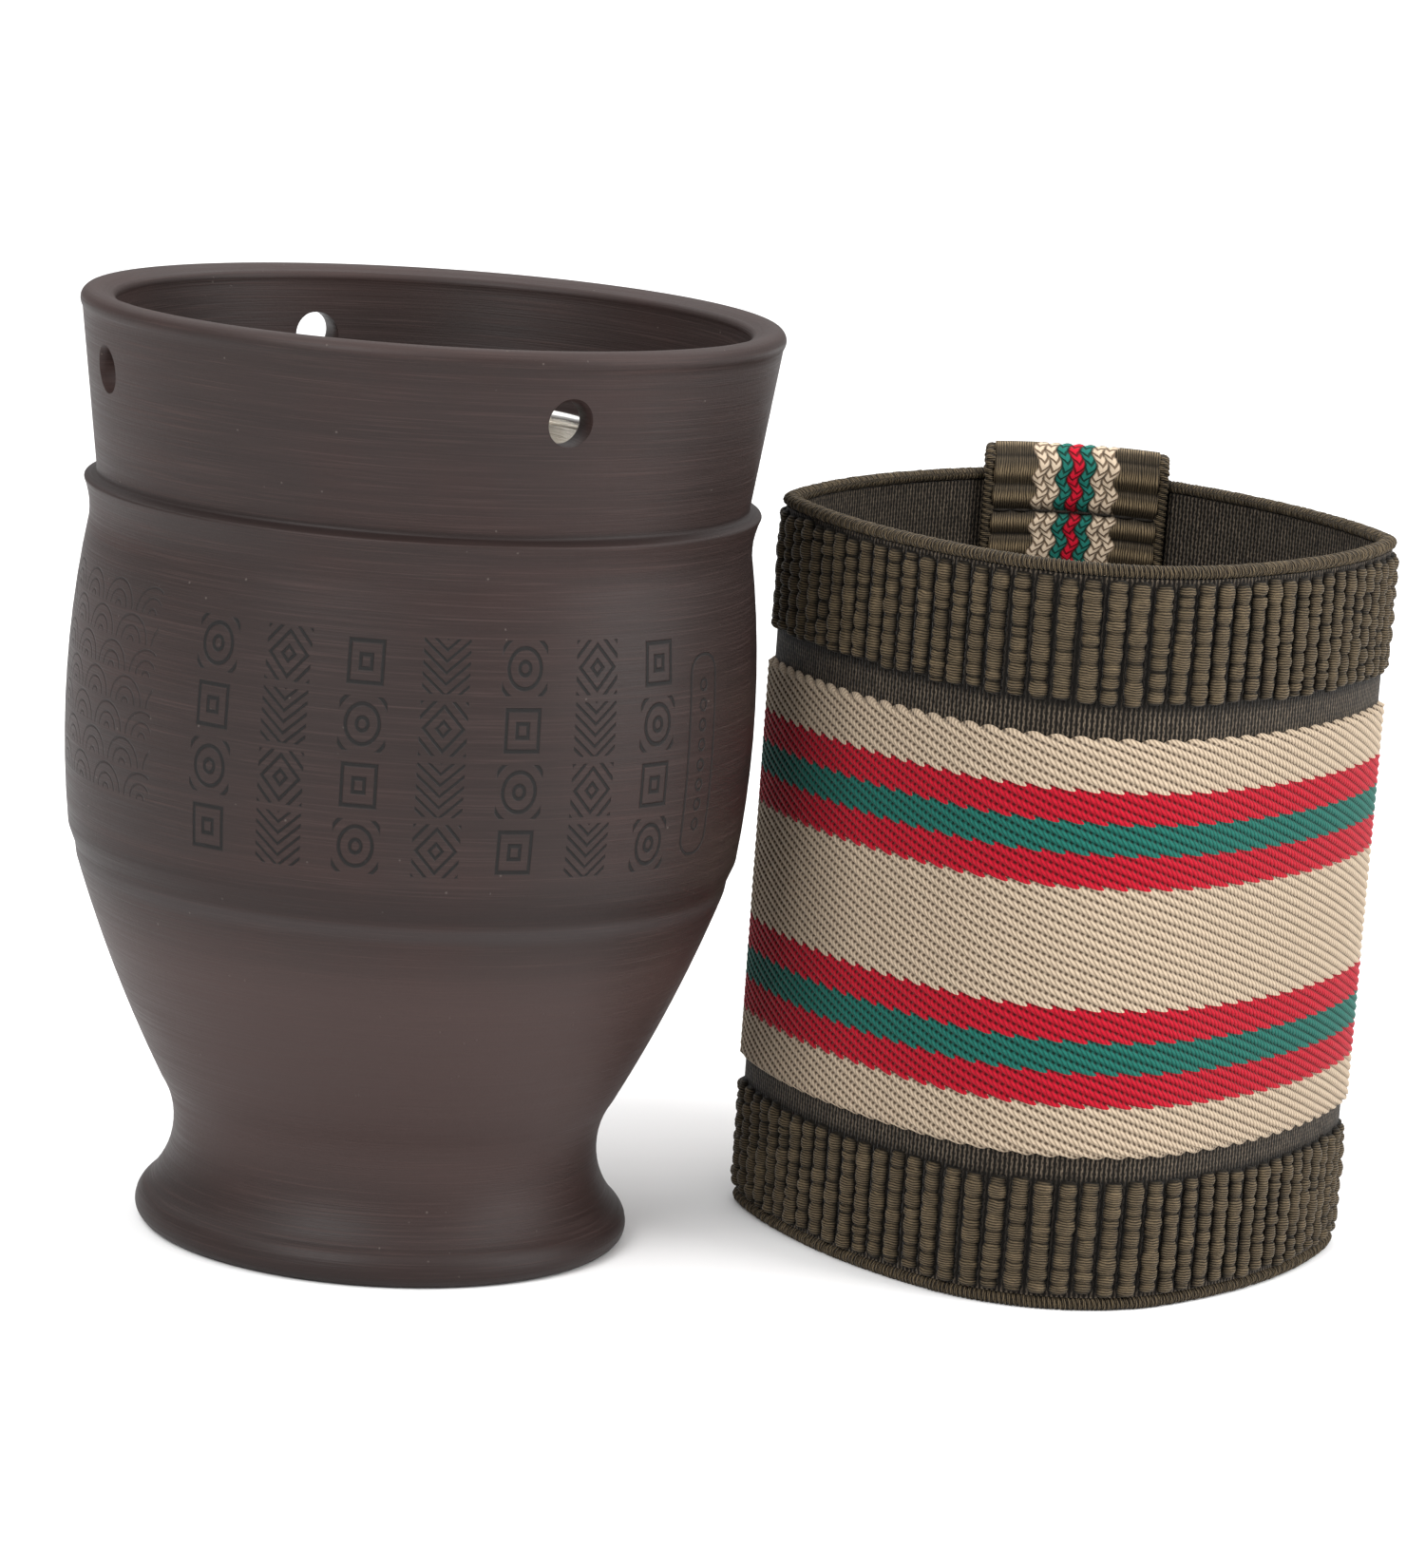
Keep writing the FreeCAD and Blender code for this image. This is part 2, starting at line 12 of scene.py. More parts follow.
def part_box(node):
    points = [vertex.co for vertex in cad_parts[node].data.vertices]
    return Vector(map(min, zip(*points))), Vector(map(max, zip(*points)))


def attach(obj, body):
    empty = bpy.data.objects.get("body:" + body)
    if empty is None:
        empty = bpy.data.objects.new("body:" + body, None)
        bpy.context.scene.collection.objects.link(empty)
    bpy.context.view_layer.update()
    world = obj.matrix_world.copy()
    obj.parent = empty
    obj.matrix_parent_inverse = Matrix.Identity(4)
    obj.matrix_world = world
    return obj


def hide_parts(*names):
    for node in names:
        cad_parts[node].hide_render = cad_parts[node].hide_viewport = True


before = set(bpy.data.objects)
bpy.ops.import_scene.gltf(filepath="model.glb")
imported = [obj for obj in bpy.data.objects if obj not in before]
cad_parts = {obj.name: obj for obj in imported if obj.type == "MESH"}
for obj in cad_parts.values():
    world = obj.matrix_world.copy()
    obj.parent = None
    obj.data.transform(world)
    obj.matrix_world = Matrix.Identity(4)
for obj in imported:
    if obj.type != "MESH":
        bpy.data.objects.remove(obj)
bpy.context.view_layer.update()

bl_info = {
    "name": "Warming cup",
    "version": (1, 0, 0),
    "blender": (4, 5, 0),
    "location": "View3D > Sidebar > Warming cup",
    "description": "Models and paints a clay warming cup with its elastic sleeve",
    "category": "Object",
}

MM = 0.001
TAU = 2 * math.pi


# Settings

def length(name, description, default):
    return bpy.props.FloatProperty(
        name=name, description=description, default=default, unit="LENGTH")


def angle(name, description, degrees):
    return bpy.props.FloatProperty(
        name=name, description=description, default=math.radians(degrees), subtype="ANGLE")


def number(name, description, default):
    return bpy.props.IntProperty(name=name, description=description, default=default)


def colour(name, description, default):
    return bpy.props.FloatVectorProperty(
        name=name, description=description, default=default, subtype="COLOR", size=3, min=0, max=1)


class CupSettings(bpy.types.PropertyGroup):
    """Sizes and colours of the clay cup."""
    hole_radius: length("Air hole", "Radius of an air hole", 2.25 * MM)
    hole_level: length("Air hole level", "Height of the air holes", 92.6 * MM)
    hole_flare: length("Air hole flare", "Softened edge of an air hole", 0.45 * MM)
    hole_turn: angle("First hole", "First hole's angle from -Y towards +X", 26.3)
    hole_count: number("Air holes", "Holes around the lip", 4)
    corner_round: length("Corner round", "Wear on the turned corners", 0.28 * MM)
    turned_steps: number("Facets", "Steps around the cup", 240)
    clay: colour("Clay", "Fired clay", (0.0200, 0.0122, 0.0110))
    clay_red: colour("Red clay", "Patches where the fire reached", (0.0240, 0.0122, 0.0106))
    speck: colour("Specks", "Pale grains in the clay", (0.075, 0.060, 0.053))
    wall_radius: length("Wall radius", "Between the wall's two sides at the belly", 34.2 * MM)
    collar_depth: length("Collar depth", "From the rim down to the foot of the collar", 19.3 * MM)
    ridge_level: length("Ridge level", "Height of the ridge under the belly", 39.9 * MM)
    groove: colour("Grooves", "Bottom of the engraved lines", (0.0055, 0.0055, 0.0055))


class SteelSettings(bpy.types.PropertyGroup):
    """Colours of the burner stand."""
    polished: colour("Polished steel", "Dish and spike", (0.72, 0.71, 0.69))
    brushed: colour("Brushed steel", "Leg strips", (0.58, 0.57, 0.55))
    tint: colour("Heat tint", "Straw tint from the burning moxa", (0.62, 0.52, 0.38))


class SleeveSettings(bpy.types.PropertyGroup):
    """Sizes and colours of the elastic sleeve."""
    nose_radius: length("Nose", "Bend of the front and the back", 20 * MM)
    flank_radius: length("Flank", "Bend of the flanks", 60 * MM)
    flank_across: length("Flank across", "Flank's centre past the middle, along X", 24.7 * MM)
    flank_along: length("Flank along", "Flank's centre past the middle, along Y", 16.5 * MM)
    crease_round: length("Crease", "Softness of the two creases", 5 * MM)
    rib_count: number("Ribs", "Ribs around the sleeve", 84)
    rib_width: length("Rib width", "Width of one rib", 2.1 * MM)
    rib_height: length("Rib height", "How far a rib stands out", 1.05 * MM)
    cloth_half: length("Half cloth", "Half the thickness of the elastic", 0.5 * MM)
    webbing_gauge: length("Webbing", "Thickness of the striped webbing", 0.7 * MM)
    twill_step: length("Twill step", "Height between two twill lines", 0.98 * MM)
    scallop: length("Scallop", "Depth of the webbing's scalloped edge", 0.5 * MM)
    edge_radius: length("Edge", "Half the thickness of the overlocked edge", 0.9 * MM)
    stitch_pitch: length("Edge stitch", "Distance between two stitches of the edge", 0.52 * MM)
    tab_gauge: length("Tab", "Thickness of the tab", 1.0 * MM)
    tab_end: length("Tab end", "Height of the tab's end outside the sleeve", 66 * MM)
    tab_seam: length("Tab seam", "Height of the stitches across the tab", 75.3 * MM)
    tab_rib_pitch: length("Tab rib", "Distance between two ribs of the tab", 2.9 * MM)
    tab_edge_radius: length("Tab edge", "Half the width of the tab's stitched edge", 0.68 * MM)
    tab_stitch_pitch: length("Tab edge stitch", "Distance between two stitches there", 0.66 * MM)
    backstitch: length("Backstitch", "Length of one stitch across the tab", 2.3 * MM)
    thread_radius: length("Thread", "Half the thickness of the sewing thread", 0.16 * MM)
    olive: colour("Olive yarn", "Ribs and overlocked edges", (0.086, 0.063, 0.036))
    ground: colour("Ground", "Elastic between the ribs", (0.036, 0.028, 0.020))
    beige: colour("Beige", "Beige stripes", (0.42, 0.335, 0.245))
    red: colour("Red", "Red stripes", (0.36, 0.0035, 0.016))
    green: colour("Green", "Green stripes", (0.008, 0.105, 0.082))
    thread: colour("Thread", "Sewing thread of the tab", (0.030, 0.024, 0.018))


class StageSettings(bpy.types.PropertyGroup):
    """Camera and floor."""
    eye: bpy.props.FloatVectorProperty(
        name="Eye", description="Camera's place", default=(0.03267, -0.59805, 0.16781),
        subtype="TRANSLATION")
    pitch: angle("Pitch", "Camera's tilt down", 11.065)
    roll: angle("Roll", "Camera's lean", 4.085)
    lens: bpy.props.FloatProperty(
        name="Lens", description="Focal length", default=130.9, unit="CAMERA")
    floor: colour("Floor", "Pale ground", (0.86, 0.86, 0.86))


# Shader helpers

def maths(operation):
    """A method that adds a Math node."""
    def method(value, *others):
        inputs = dict(enumerate((value, *others)))
        return value.paint.node("ShaderNodeMath", inputs, operation=operation)
    return method


class Value:
    """A shader socket that can be added, multiplied and compared as a number."""

    def __init__(self, paint, socket):
        self.paint = paint
        self.socket = socket

    __add__ = __radd__ = maths("ADD")
    __sub__ = maths("SUBTRACT")
    __mul__ = __rmul__ = maths("MULTIPLY")
    __truediv__ = maths("DIVIDE")
    __abs__ = maths("ABSOLUTE")
    __lt__ = maths("LESS_THAN")
    __gt__ = maths("GREATER_THAN")
    most = maths("MAXIMUM")
    part = maths("FRACT")
    whole = maths("FLOOR")
    root = maths("SQRT")
    sine = maths("SINE")
    cosine = maths("COSINE")
    angle = maths("ARCTAN2")

    def __rsub__(self, other):
        return self.paint.node("ShaderNodeMath", {0: other, 1: self}, operation="SUBTRACT")

    def __neg__(self):
        return self * -1

    def wave(self):
        """A cosine with a period of 1, from 0 to 1."""
        return (self * TAU).cosine() * 0.5 + 0.5

    def ramp(self, start, end):
        """0 before start, 1 after end, smooth between."""
        inputs = {"Value": self, "From Min": start, "From Max": end}
        return self.paint.node("ShaderNodeMapRange", inputs, interpolation_type="SMOOTHSTEP")

    def between(self, start, end, soft):
        """1 from start to end, with soft edges."""
        return self.ramp(start - soft, start + soft) * (1 - self.ramp(end - soft, end + soft))

    def line(self, width, soft):
        """1 where this distance is inside half the width."""
        return 1 - abs(self).ramp(width / 2 - soft, width / 2 + soft)

    def tiled(self, size):
        """The distance from the middle of the tile that this falls in."""
        return ((self / size).part() - 0.5) * size


def distance(across, up):
    return (across * across + up * up).root()


def toned(shade, share):
    """A colour made darker or lighter."""
    return [part * share for part in shade]


class Paint:
    """One node-based material."""

    def __init__(self, name):
        self.material = bpy.data.materials.new(name)
        self.material.use_nodes = True
        self.tree = self.material.node_tree
        self.shader = self.tree.nodes["Principled BSDF"]

    def node(self, kind, inputs=None, out=0, **settings):
        """Adds a node: settings first, then values or links of its sockets."""
        node = self.tree.nodes.new(kind)
        for key, value in settings.items():
            setattr(node, key, value)
        for key, value in (inputs or {}).items():
            self.feed(node.inputs[key], value)
        return Value(self, node.outputs[out])

    def feed(self, socket, value):
        if isinstance(value, Value):
            self.tree.links.new(value.socket, socket)
        elif socket.type == "RGBA":
            socket.default_value = (*value[:3], 1)
        else:
            socket.default_value = value

    def set(self, **inputs):
        """Feeds the shader's own sockets; base_color stands for Base Color."""
        for key, value in inputs.items():
            self.feed(self.shader.inputs[key.replace("_", " ").title()], value)

    def shine(self, level):
        """How strongly the surface mirrors, the same all over."""
        self.shader.inputs["Specular IOR Level"].default_value = level

    def place(self):
        return self.node("ShaderNodeTexCoord", out="Object")

    def parts(self, vector):
        outputs = self.node("ShaderNodeSeparateXYZ", {0: vector}).socket.node.outputs
        return [Value(self, outputs[axis]) for axis in range(3)]

    def layout(self):
        """The place on the piece's own cloth, in millimetres across and up."""
        return self.parts(self.node("ShaderNodeUVMap", uv_map="weave"))[:2]

    def depth(self):
        """How deep a point lies, from 0 on a yarn's crest to 1 in the gap beside it; it masks
        painted shade.
        """
        return self.node("ShaderNodeAttribute", attribute_name="depth", out="Fac")

    def join(self, across, up):
        return self.node("ShaderNodeCombineXYZ", {0: across, 1: up})

    def noise(self, vector, scale, detail=2.0, roughness=0.5):
        return self.node("ShaderNodeTexNoise", {
            "Vector": vector, "Scale": scale, "Detail": detail, "Roughness": roughness})

    def streaks(self, place, around, along, detail, roughness):
        """Noise drawn out into lines by unequal scales around and along the upright axis."""
        scales = {0: place, 1: (around, around, along)}
        drawn_out = self.node("ShaderNodeVectorMath", scales, operation="MULTIPLY")
        return self.noise(drawn_out, 1.0, detail, roughness)

    def fuzz(self, scale):
        """The fine hairs of a yarn."""
        return self.noise(self.place(), scale, detail=3, roughness=0.7)

    def cells(self, vector, scale):
        return self.node("ShaderNodeTexVoronoi", {"Vector": vector, "Scale": scale})

    def mix(self, share, first, second, blend="MIX"):
        return self.node("ShaderNodeMix", {0: share, 6: first, 7: second}, out=2,
                         data_type="RGBA", blend_type=blend)

    def tinted(self, shade, tint):
        return self.mix(1.0, shade, tint, blend="MULTIPLY")

    def bump(self, height, distance, strength=1.0):
        return self.node(
            "ShaderNodeBump", {"Height": height, "Distance": distance, "Strength": strength})


# Modelling helpers

def deselect():
    bpy.ops.object.select_all(action="DESELECT")


def edit_mesh():
    bpy.ops.object.mode_set(mode="EDIT")


def select_mesh():
    bpy.ops.mesh.select_all(action="SELECT")


def leave_mesh():
    bpy.ops.object.mode_set(mode="OBJECT")


def apply_place():
    bpy.ops.object.transform_apply(location=True, rotation=True, scale=True)


def activate(piece):
    deselect()
    piece.select_set(True)
    bpy.context.view_layer.objects.active = piece


def finish_piece(piece, node, paint, smooth=None, body="sleeve"):
    """Gives a piece its material and its body, and hides the CAD node it stands for."""
    activate(piece)
    piece.data.materials.clear()
    piece.data.materials.append(paint.material)
    if smooth is None:
        bpy.ops.object.shade_smooth()
    else:
        bpy.ops.object.shade_smooth_by_angle(angle=math.radians(smooth))
    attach(piece, body)
    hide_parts(node)
    deselect()
    return piece


class Surface:
    """Points with a layout and a depth each, and the faces between them.

    A layout is a place on the cloth in millimetres, and a depth goes from 0 on a yarn's crest to 1
    in the gap beside it; the paints darken by depth, as painted shade.
    """

    def __init__(self):
        self.points, self.faces, self.layouts, self.depths = [], [], [], []

    def add(self, point, across, up, depth):
        self.points.append(point)
        self.layouts.append((across, up))
        self.depths.append(depth)

    def stand_off(self, outline, walk, level, growth, depth):
        """Adds a point that stands off the middle of the sleeve's cloth."""
        place, outward = outline.at(walk)
        place = place + outward * growth
        self.add((place.x, place.y, level), walk / MM, level / MM, depth)

    def face(self, corners, flipped=False):
        self.faces.append(tuple(corners)[::-1] if flipped else tuple(corners))

    def grid(self, first, columns, rows, closed=False, flipped=False):
        """Faces of rows of points, stored from first on; closed joins each row's two ends."""
        for row in range(rows):
            low, high = first + row * columns, first + (row + 1) * columns
            for column in range(columns if closed else columns - 1):
                following = (column + 1) % columns
                self.face((low + column, low + following, high + following, high + column), flipped)

    def wrap(self, outline, columns, rows, shape, flipped=False):
        """A grid round the sleeve; shape(column, row) gives (walk, level, growth, depth)."""
        first = len(self.points)
        for row in range(rows + 1):
            for column in range(columns):
                self.stand_off(outline, *shape(column, row))
        self.grid(first, columns, rows, closed=True, flipped=flipped)

    def tube(self, first, corners, steps, flipped=False):
        """Faces round a closed tube of rings, with a cap at each end."""
        self.grid(first, corners, steps, closed=True, flipped=flipped)
        self.face(range(first, first + corners), not flipped)
        last = first + steps * corners
        self.face(range(last, last + corners), flipped)

    def piece(self, name, around=math.inf):
        """The finished mesh; around is the way round it in millimetres, where it closes."""
        mesh = bpy.data.meshes.new(name)
        mesh.from_pydata(self.points, [], self.faces)
        layer = mesh.uv_layers.new(name="weave")
        for loop in mesh.loops:
            layer.data[loop.index].uv = self.layouts[loop.vertex_index]
        carry_layout_on(mesh, layer, around)
        mesh.attributes.new("depth", "FLOAT", "POINT").data.foreach_set("value", self.depths)
        mesh.update()
        piece = bpy.data.objects.new(name, mesh)
        bpy.context.collection.objects.link(piece)
        return piece


def carry_layout_on(mesh, layer, around):
    """Faces that close the loop get a layout that runs on past the end, in place of back to 0."""
    for face in mesh.polygons:
        corners = [layer.data[index] for index in face.loop_indices]
        last = max(corner.uv.x for corner in corners)
        for corner in corners:
            if corner.uv.x < last - around / 2:
                corner.uv.x += around


# The clay cup

RING_POINTS = 40
SHARP_TURN = 9  # degrees


def cup_rings():
    """The CAD cup's rings as (radius, level), along its section from the underside to the well.

    Every corner of a turned shape lies on a ring, and two rings are neighbours where most edges
    join them. Rings with few points belong to the air holes and are left out.
    """
    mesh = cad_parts["clay_cup"].data
    rings = [(round(math.hypot(*vertex.co.xy), 5), round(vertex.co.z, 5))
             for vertex in mesh.vertices]
    sizes = Counter(rings)
    shared = defaultdict(Counter)
    for edge in mesh.edges:
        first, second = (rings[index] for index in edge.vertices)
        if first != second and min(sizes[first], sizes[second]) >= RING_POINTS:
            shared[first][second] += 1
            shared[second][first] += 1
    chain = [min(shared, key=lambda ring: ring[1])]
    while True:
        joined = shared[chain[-1]]
        following = [ring for ring in joined if ring not in chain]
        if not following:
            return chain
        chain.append(max(following, key=joined.get))


def wall_at(rings, level):
    """The inner and the outer radius of the wall where the section crosses a level."""
    crossings = []
    for (radius, height), (next_radius, next_height) in zip(rings, rings[1:]):
        if min(height, next_height) < level <= max(height, next_height):
            share = (level - height) / (next_height - height)
            crossings.append(radius + (next_radius - radius) * share)
    return min(crossings), max(crossings)


def hold_corners(chain, reach):
    """Adds a point beside each end of a long straight run, so that shading stays flat between."""
    held = [chain[0]]
    for first, second in zip(chain, chain[1:]):
        span = math.dist(first, second)
        if span > 3 * reach:
            for share in (reach / span, 1 - reach / span):
                held.append(tuple(start + (end - start) * share
                                  for start, end in zip(first, second)))
        held.append(second)
    return held


def cup_section(rings, corner_round):
    """The cup's section as a chain of edges from axis to axis, its corners worn round."""
    chain = hold_corners([(0.0, rings[0][1]), *rings, (0.0, rings[-1][1])], 2.3 * corner_round)
    deselect()
    bpy.ops.mesh.primitive_plane_add(size=MM, location=(0, 0, chain[0][1]))
    piece = bpy.context.object
    apply_place()
    piece.name = "clay_cup_skin"
    edit_mesh()
    bpy.ops.mesh.select_mode(type="VERT")
    select_mesh()
    bpy.ops.mesh.merge(type="CENTER")
    for (radius, level), (next_radius, next_level) in zip(chain, chain[1:]):
        step = (next_radius - radius, 0, next_level - level)
        bpy.ops.mesh.extrude_vertices_move(TRANSFORM_OT_translate={"value": step})
    leave_mesh()
    wear_corners(piece, corner_round)
    return piece


def wear_corners(piece, corner_round):
    """Bevels the section's sharp corners, where the turning tool left an edge."""
    net = bmesh.new()
    net.from_mesh(piece.data)
    for vertex in net.verts:
        vertex.select = False
        if len(vertex.link_edges) != 2:
            continue
        first, second = (edge.other_vert(vertex).co - vertex.co for edge in vertex.link_edges)
        roomy = min(first.length, second.length) > 2 * corner_round
        vertex.select = roomy and first.angle(-second) > math.radians(SHARP_TURN)
    net.to_mesh(piece.data)
    net.free()
    edit_mesh()
    bpy.ops.mesh.select_mode(type="VERT")
    bpy.ops.mesh.bevel(offset=corner_round, segments=4, affect="VERTICES")
    leave_mesh()


def hole_cutter(cup, wall_inside, wall_outside, turn):
    """A round cutter along a radius, flared where it meets the inside and the outside."""
    flare = cup.hole_flare
    stations = (
        (wall_inside - 6 * flare, cup.hole_radius + 3 * flare),
        (wall_inside - flare, cup.hole_radius + 1.1 * flare),
        (wall_inside + 0.2 * flare, cup.hole_radius + 0.35 * flare),
        (wall_inside + 1.5 * flare, cup.hole_radius),
        (wall_outside - 1.5 * flare, cup.hole_radius),
        (wall_outside - 0.2 * flare, cup.hole_radius + 0.35 * flare),
        (wall_outside + flare, cup.hole_radius + 1.1 * flare),
        (wall_outside + 6 * flare, cup.hole_radius + 3 * flare),
    )
    bpy.ops.mesh.primitive_circle_add(
        vertices=40, radius=stations[0][1], fill_type="NGON",
        location=(stations[0][0], 0, cup.hole_level), rotation=(0, math.pi / 2, 0))
    cutter = bpy.context.object
    apply_place()
    edit_mesh()
    select_mesh()
    for (reach, radius), (next_reach, next_radius) in zip(stations, stations[1:]):
        step = (next_reach - reach, 0, 0)
        bpy.ops.mesh.extrude_region_move(TRANSFORM_OT_translate={"value": step})
        share = next_radius / radius
        bpy.ops.transform.resize(
            value=(1, share, share), center_override=(next_reach, 0, cup.hole_level))
    select_mesh()
    bpy.ops.mesh.normals_make_consistent(inside=False)
    leave_mesh()
    cutter.data.transform(Matrix.Rotation(turn - math.pi / 2, 4, "Z"))
    return cutter


def clay_paint(cup):
    """Burnished, unglazed clay with turning streaks, specks and an engraved ornament.

    The lower body is painted paler as a painted reflection; painted shade lies over the ridge and
    at the collar's foot, and a painted highlight along the ridge.
    """
    paint = Paint("fired_clay")
    place = paint.place()
    x, y, z = paint.parts(place)
    level = z / MM
    turn = x.angle(-y) * (180 / math.pi)

    rings = paint.streaks(place, 14, 900, detail=5, roughness=0.65)
    fine_rings = paint.streaks(place, 60, 5200, detail=3, roughness=0.6)
    patches = paint.noise(place, 42, detail=3, roughness=0.55)
    grain = paint.noise(place, 2600)
    specks = 1 - paint.cells(place, 620).ramp(0.05, 0.11)
    speck_share = specks * (paint.noise(place, 240, detail=1) > 0.60)

    shade = paint.mix(patches.ramp(0.42, 0.66) * 0.8, cup.clay, cup.clay_red)
    shade = paint.mix(rings.ramp(0.34, 0.72) * 0.5, shade, toned(cup.clay, 0.62))
    shade = paint.mix(fine_rings.ramp(0.48, 0.76) * 0.5, shade, toned(cup.clay, 2.6))
    shade = paint.mix(speck_share * 0.7, shade, cup.speck)

    outside = distance(x, y) > cup.wall_radius
    above_ridge = level - cup.ridge_level / MM
    # Painted reflection: the lower body, between the foot and the ridge, is painted paler, as the
    # pale floor's reflection on it.
    above_foot = level.ramp(5, 15)
    not_cone = above_ridge.ramp(-9, 0.5).most(1 - above_foot)
    shade = paint.mix(not_cone * 0.75 + 0.25, toned(cup.clay, 2.3), shade)
    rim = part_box("clay_cup")[1][2]
    # Painted shade: a dark band just above the ridge and a dark line at the foot of the collar, on
    # the outside. The clay is also painted darker towards the lower edge of the foot.
    collar_foot = (level - rim / MM + cup.collar_depth / MM).line(0.9, 0.3)
    over_ridge = above_ridge.ramp(0.5, 1.4) * (1 - above_ridge.ramp(1.6, 5.5))
    foot_edge = 1 - level.ramp(0.8, 4.2)
    painted_shade = (over_ridge * 0.6).most(collar_foot * 0.85) * outside
    shade = paint.mix(painted_shade.most(foot_edge * 0.45), shade, toned(cup.clay_red, 0.45))
    # Painted highlight: a paler band along the ridge, on the outside.
    ridge_light_band = above_ridge.ramp(-1.6, -0.2) * (1 - above_ridge.ramp(0.2, 0.9))
    highlight_clay = [cup.clay[0] * share for share in (1.8, 1.5, 1.5)]
    shade = paint.mix(ridge_light_band * outside * 0.4, shade, highlight_clay)

    groove = engraving(turn, level) * outside
    shade = paint.mix(groove * 0.9, shade, cup.groove)
    # Paler towards the top of the rim.
    paler_rim_top = level.ramp(98.6, 99.9)
    shade = paint.mix(paler_rim_top * 0.35, shade, toned(cup.clay, 2.4))

    height = rings * 0.5 + fine_rings * 0.5 + grain * 0.14 + speck_share * 0.3
    rough = patches * 0.12 + fine_rings * 0.30 + grain * 0.08 + groove * 0.2 + 0.28
    paint.set(base_color=shade, roughness=rough,
              normal=paint.bump(height - groove * 1.6, 0.09 * MM, 0.8))
    paint.shine(0.22)
    return paint


DEGREE = 0.64  # millimetres along the belly
LINE_SOFT = 0.07


def engraving(turn, level):
    """The thin engraved ornament, from angles in degrees and levels in millimetres."""
    ornament = figure_columns(turn, level)
    ornament = ornament.most(beaded_panel((turn - 58.5) * DEGREE, level - 57.6) * 0.9)
    return ornament.most(field_of_arcs(turn, level) * 0.5)


def figure_columns(turn, level):
    """Seven columns of four figures: nested squares, diamonds, rings and chevrons by turns."""
    columns, rows = 7, 4
    column_step, column_wide, first_column = 12.8, 8.2, -30.0
    row_step, lowest_row = 6.3, 45.8
    half_wide, half_tall, soft = 2.35, 2.7, 0.15
    nest_step = 1.15
    column = (turn - (first_column - column_step / 2)) / column_step
    row = (level - lowest_row) / row_step
    across = (column.part() - 0.5) * column_wide
    up = (row.part() - 0.5) * row_step
    square = abs(across).most(abs(up) * 0.82)
    diamond = abs(across) * 0.85 + abs(up) * 0.75
    ring = (across * across + up * up * 0.7).root()
    chevron = abs(up - abs(across) * 0.9 + 1.2)
    kind = ((column.whole() * 3 + row.whole() * 2) / 4).part() * 4
    chosen = square * (kind < 0.5)
    chosen = chosen + diamond * ((kind > 0.5) * (kind < 1.5))
    chosen = chosen + ring * ((kind > 1.5) * (kind < 2.5))
    chosen = chosen + chevron * (kind > 2.5)
    nested = chosen.tiled(nest_step).line(0.33, 0.08)
    inside = ((1 - abs(across).ramp(half_wide, half_wide + soft))
              * (1 - abs(up).ramp(half_tall, half_tall + soft)))
    return nested * inside * ((column > 0) * (column < columns) * (row > 0) * (row < rows))


def beaded_panel(across, up):
    """A long panel with round corners and a row of beads in it."""
    half_wide, half_tall, corner = 2.3, 10.5, 2.0
    bead_step, bead_radius, bead_reach = 2.1, 0.55, 8.2
    past_across = (abs(across) - (half_wide - corner)).most(0)
    past_up = (abs(up) - (half_tall - corner)).most(0)
    frame_line = (distance(past_across, past_up) - corner).line(0.3, LINE_SOFT)
    bead = (distance(across, up.tiled(bead_step)) - bead_radius).line(0.26, LINE_SOFT)
    return frame_line.most(bead * (1 - abs(up).ramp(bead_reach, bead_reach + 0.2)))


def field_of_arcs(turn, level):
    """Rows of nested arcs, each row half a step past the one below."""
    wide, tall, nest_step, reach = 6.4, 3.2, 1.1, 3.1
    row = (level - 50.0) / tall
    shift = (row.whole() / 2).part()
    across = (((turn + 80) * DEGREE / wide + shift).part() - 0.5) * wide
    from_foot = distance(across, row.part() * tall)
    arcs = from_foot.tiled(nest_step).line(0.22, LINE_SOFT)
    arcs = arcs * (1 - from_foot.ramp(reach, reach + 0.1))
    return arcs * turn.between(-82, -43, 0.3) * level.between(50, 72.4, 0.1)


class WARMCUP_OT_clay_cup(bpy.types.Operator):
    """Turn the clay cup from the frame's section and cut its air holes"""
    bl_idname = "warmcup.clay_cup"
    bl_label = "Clay cup"

    def execute(self, context):
        cup = context.scene.warmcup_cup
        rings = cup_rings()
        piece = cup_section(rings, cup.corner_round)
        edit_mesh()
        select_mesh()
        bpy.ops.mesh.spin(steps=cup.turned_steps, angle=TAU, center=(0, 0, 0), axis=(0, 0, 1))
        select_mesh()
        bpy.ops.mesh.remove_doubles(threshold=0.002 * MM)
        bpy.ops.mesh.normals_make_consistent(inside=False)
        leave_mesh()
        walls = wall_at(rings, cup.hole_level)
        cutters = []
        for index in range(cup.hole_count):
            deselect()
            cutters.append(hole_cutter(cup, *walls, cup.hole_turn + index * TAU / cup.hole_count))
        activate(cutters[0])
        for cutter in cutters:
            cutter.select_set(True)
        bpy.ops.object.join()
        activate(piece)
        cut = piece.modifiers.new("air holes", "BOOLEAN")
        cut.object = cutters[0]
        cut.solver = "EXACT"
        bpy.ops.object.modifier_apply(modifier=cut.name)
        bpy.data.objects.remove(cutters[0])
        finish_piece(piece, "clay_cup", clay_paint(cup), smooth=35, body="cup")
        return {"FINISHED"}


# The burner stand

CROSSWISE = (120, 3800)
LENGTHWISE = (900, 40)


def steel_paint(name, steel, shade, tinted, rough, brushed):
    """Sheet steel with fine brush lines and a straw tint where it gets hot."""
    paint = Paint(name)
    place = paint.place()
    lines = paint.streaks(place, *brushed, detail=4, roughness=0.7)
    smudge = paint.noise(place, 95, detail=3)
    heat = smudge.ramp(0.40, 0.70) * tinted
    paint.set(base_color=paint.mix(heat, shade, steel.tint), metallic=1.0,
              roughness=lines * 0.16 + smudge * 0.08 + rough,
              normal=paint.bump(lines, 0.03 * MM, 0.6))
    return paint


